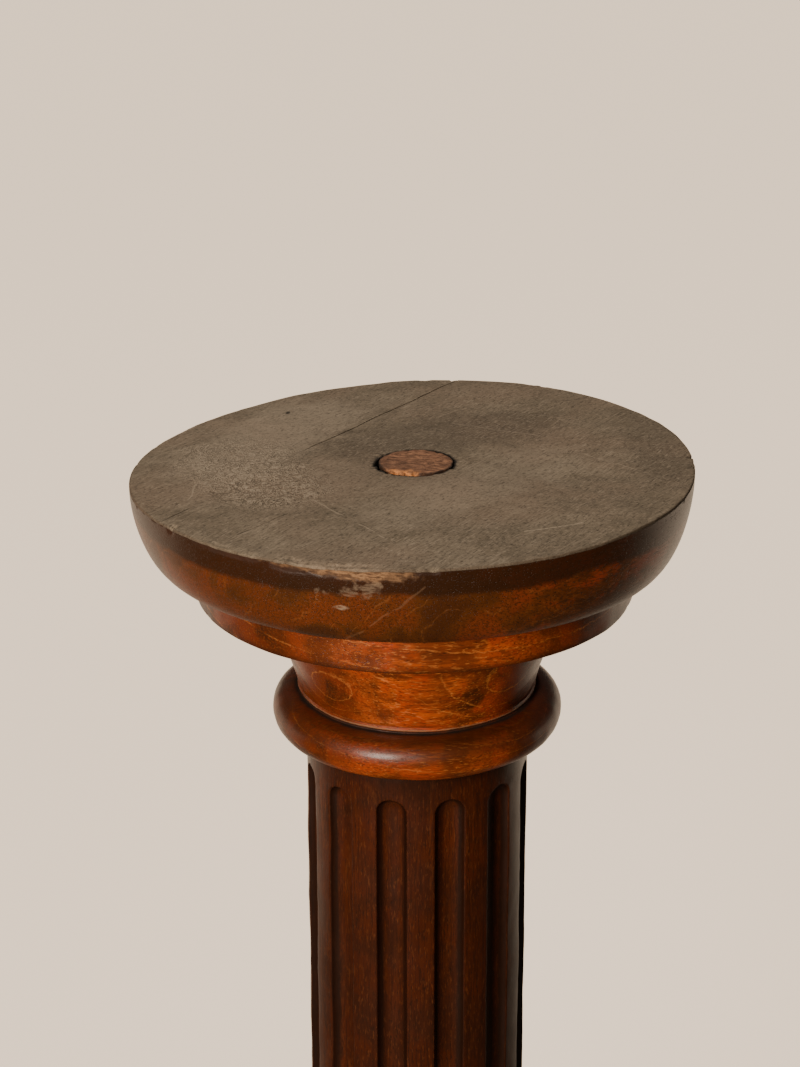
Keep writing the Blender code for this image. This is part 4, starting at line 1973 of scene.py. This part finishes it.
@dataclass
class RoundFoot(Piece):
    """The round foot that the column stands on.

    Attributes:
        top_radius: Radius of the upper face.
        covered_radius: Radius of the upper face's part under the base.
        band: Height of the upright band at the floor.
        sides: The number of points in each ring.
    """

    top_radius: float = 0.138
    covered_radius: float = 0.115
    band: float = 0.010
    sides: int = 640
    name: ClassVar[str] = "round_foot"
    node: ClassVar[str] = "foot_disc"
    wood: ClassVar[str] = "foot_wood"

    def __post_init__(self) -> None:
        """Reads the solid's box and finds the height of its band."""
        super().__post_init__()
        self.band_top = self.low.z + self.band

    def outline(self) -> Outline:
        """Draws the section that is turned.

        Returns:
            The outline from the top of the bore round to its foot.
        """
        points = [(BORE_RADIUS, self.high.z)]
        points += reversed(ovolo(self.rim, self.top_radius, self.band_top, self.high.z))
        points += [(self.rim, self.band_top), (self.rim, self.low.z), (BORE_RADIUS, self.low.z)]
        outline = Outline.through(points).softened(0.0008)
        hidden = (outline.radius < self.covered_radius) | (outline.height < self.low.z + 0.0002)
        return outline.thinned(np.where(hidden, 0.014, 0.0026))

    def mesh(self) -> bpy.types.Mesh:
        """Makes the piece's mesh.

        Returns:
            The mesh, without its materials.
        """
        skin = Skin.turned(self.outline(), self.sides)
        skin.dirt[skin.radius < BORE_WALL] = 1.0
        step_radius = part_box("base_block")[1].x
        # Darker where the base sits on the foot, and towards the floor
        seat = np.hypot(skin.radius - step_radius, (skin.height - self.high.z) * 1.5)
        skin.at_least("dirt", 0.95 * np.exp(-seat / 0.005))
        skin.at_least("dirt", 0.30 * smooth(skin.height, self.low.z + 0.012, self.low.z))
        skin.roughen(((0.060, 0.00018), (0.014, 0.00006)), 61)
        small = small_nicks(14, 40, (0.004, 0.014), 0.004, (3e-4, 12e-4))
        cut_nicks(skin, small, (self.rim, self.band_top), 400)
        return skin.mesh(self.name, closed=True)

    def finishes(self) -> dict[str, Finish]:
        """Returns the piece's finishes by the names of their materials."""
        varnish = Varnish(
            deep=(0.060, 0.0165, 0.0036),
            warm=(0.185, 0.050, 0.009),
            line=(0.270, 0.105, 0.032),
            ruddy=(0.170, 0.032, 0.006),
            end_grain=(0.085, 0.024, 0.005),
            lay=Lay.BOARD,
            stack=(0.507, -0.359, -0.785),
            spacing=0.0130,
            waver=1.3,
            figure=0.30,
            roughness=0.40,
            edge_wear=1.1,
        )
        return {"varnished_foot": varnish}


@dataclass(frozen=True)
class Softbox:
    """A square area light.

    Attributes:
        name: The light's name.
        spot: Where it hangs.
        target: What it points at.
        size: Length of its sides.
        power: Its power in watts.
        colour: Its colour.
        spread: How wide its beam is, in degrees.
        mirrored: Whether the varnish mirrors it.
    """

    name: str
    spot: Point
    target: Point
    size: float
    power: float
    colour: Colour
    spread: float = 180.0
    mirrored: bool = True

    def hang(self) -> None:
        """Adds the light."""
        data = bpy.data.lights.new(self.name, "AREA")
        data.size = self.size
        data.energy = self.power
        data.color = self.colour
        data.spread = math.radians(self.spread)
        lamp = bpy.data.objects.new(self.name, data)
        lamp.location = self.spot
        aim = Vector(self.target) - Vector(self.spot)
        lamp.rotation_mode = "QUATERNION"
        lamp.rotation_quaternion = aim.to_track_quat("-Z", "Y")
        lamp.visible_camera = False
        lamp.visible_glossy = self.mirrored
        bpy.context.scene.collection.objects.link(lamp)


@dataclass
class Studio:
    """The camera, the pale floor and the soft light.

    Attributes:
        camera_spot: Where the camera stands.
        camera_pitch: How far it looks down, in degrees.
        camera_roll: How far it is turned, in degrees.
        lens: Its focal length in millimetres, on a 36 mm frame.
        floor_size: Length of the floor's sides.
        floor_colour: Colour of the floor under the lights, seen straight.
        floor_shade: Colour of the floor for the light that it throws back onto the column.
        floor_glow: Even light added to the floor, seen straight.
        sheen: How much of that light the varnish mirrors from the floor behind the column.
        air: Colour of the light from all around.
        horizon: Colour behind the floor's far edge.
        lights: The softboxes.
    """

    camera_spot: Point = (-0.00886, -1.07377, 1.37509)
    camera_pitch: float = 21.095
    camera_roll: float = -0.157
    lens: float = 74.507
    floor_size: float = 160.0
    floor_colour: Colour = (0.30, 0.27, 0.24)
    floor_shade: Colour = (0.12, 0.10, 0.075)
    floor_glow: Colour = (1.42, 1.10, 0.80)
    sheen: float = 0.70
    air: Colour = (0.075, 0.066, 0.052)
    horizon: Colour = (1.55, 1.20, 0.88)
    lights: tuple[Softbox, ...] = (
        Softbox("key", (-0.955, -1.874, 1.523), (0.0, 0.0, 0.88), 0.75, 60.0, (1.0, 0.90, 0.77)),
        Softbox("overhead", (-0.3, 1.6, 3.6), (0.0, 0.1, 0.9), 2.6, 40.0, (1.0, 0.93, 0.82)),
        Softbox("back", (0.3, 2.5, 0.42), (0.0, 0.0, 0.60), 0.6, 11.0, (1.0, 0.92, 0.80), 40.0, False),
    )

    def set_camera(self) -> None:
        """Adds the camera at the photograph's viewing angle."""
        data = bpy.data.cameras.new("camera")
        data.sensor_fit = "AUTO"
        data.sensor_width = 36.0
        data.lens = self.lens
        camera = bpy.data.objects.new("camera", data)
        tilt = Matrix.Rotation(math.radians(90.0 - self.camera_pitch), 4, "X")
        roll = Matrix.Rotation(math.radians(self.camera_roll), 4, "Z")
        camera.matrix_world = Matrix.Translation(self.camera_spot) @ tilt @ roll
        bpy.context.scene.collection.objects.link(camera)
        bpy.context.scene.camera = camera

    def lay_floor(self) -> None:
        """Adds the floor. It throws less light back onto the column than it shows."""
        shape = bmesh.new()
        bmesh.ops.create_grid(shape, x_segments=1, y_segments=1, size=self.floor_size / 2)
        mesh = bpy.data.meshes.new("floor")
        shape.to_mesh(mesh)
        shape.free()
        material = bpy.data.materials.new("pale_floor")
        material.use_nodes = True
        sheet = Sheet(material.node_tree)
        shader = material.node_tree.nodes["Principled BSDF"]
        path = sheet.node("ShaderNodeLightPath")
        colour = sheet.mix(path.outputs["Is Camera Ray"], self.floor_shade, self.floor_colour)
        sheet.feed(shader.inputs["Base Color"], colour)
        shader.inputs["Emission Color"].default_value = (*self.floor_glow, 1.0)
        depth = sheet.node("ShaderNodeSeparateXYZ", {"Vector": sheet.place()}).outputs["Y"]
        behind = sheet.times(sheet.span(depth, 0.2, 1.4), self.sheen)
        mirrored = sheet.times(path.outputs["Is Glossy Ray"], behind)
        sheet.feed(shader.inputs["Emission Strength"], sheet.most(path.outputs["Is Camera Ray"], mirrored))
        shader.inputs["Roughness"].default_value = 0.95
        shader.inputs["Specular IOR Level"].default_value = 0.1
        mesh.materials.append(material)
        floor = bpy.data.objects.new("floor", mesh)
        bpy.context.scene.collection.objects.link(floor)

    def fill_air(self) -> None:
        """Sets the light from all around, and the plain colour beyond the floor."""
        world = bpy.data.worlds.new("studio")
        world.use_nodes = True
        bpy.context.scene.world = world
        sheet = Sheet(world.node_tree)
        path = sheet.node("ShaderNodeLightPath")
        colour = sheet.mix(path.outputs["Is Camera Ray"], self.air, self.horizon)
        sheet.feed(world.node_tree.nodes["Background"].inputs["Color"], colour)

    def build(self) -> None:
        """Sets up the studio."""
        self.set_camera()
        self.lay_floor()
        self.fill_air()
        for light in self.lights:
            light.hang()
        log.info("studio: %d softboxes", len(self.lights))


def main() -> None:
    """Builds the column's looks."""
    logging.basicConfig(level=logging.INFO, format="%(name)s: %(message)s")
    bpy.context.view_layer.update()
    effects = Effects()
    for piece in (TopBoard(), TurnedCapital(), CarvedShaft(), TurnedBase(), RoundFoot()):
        piece.build(effects)
    Studio().build()
    bpy.context.view_layer.update()


if __name__ == "__main__":
    main()
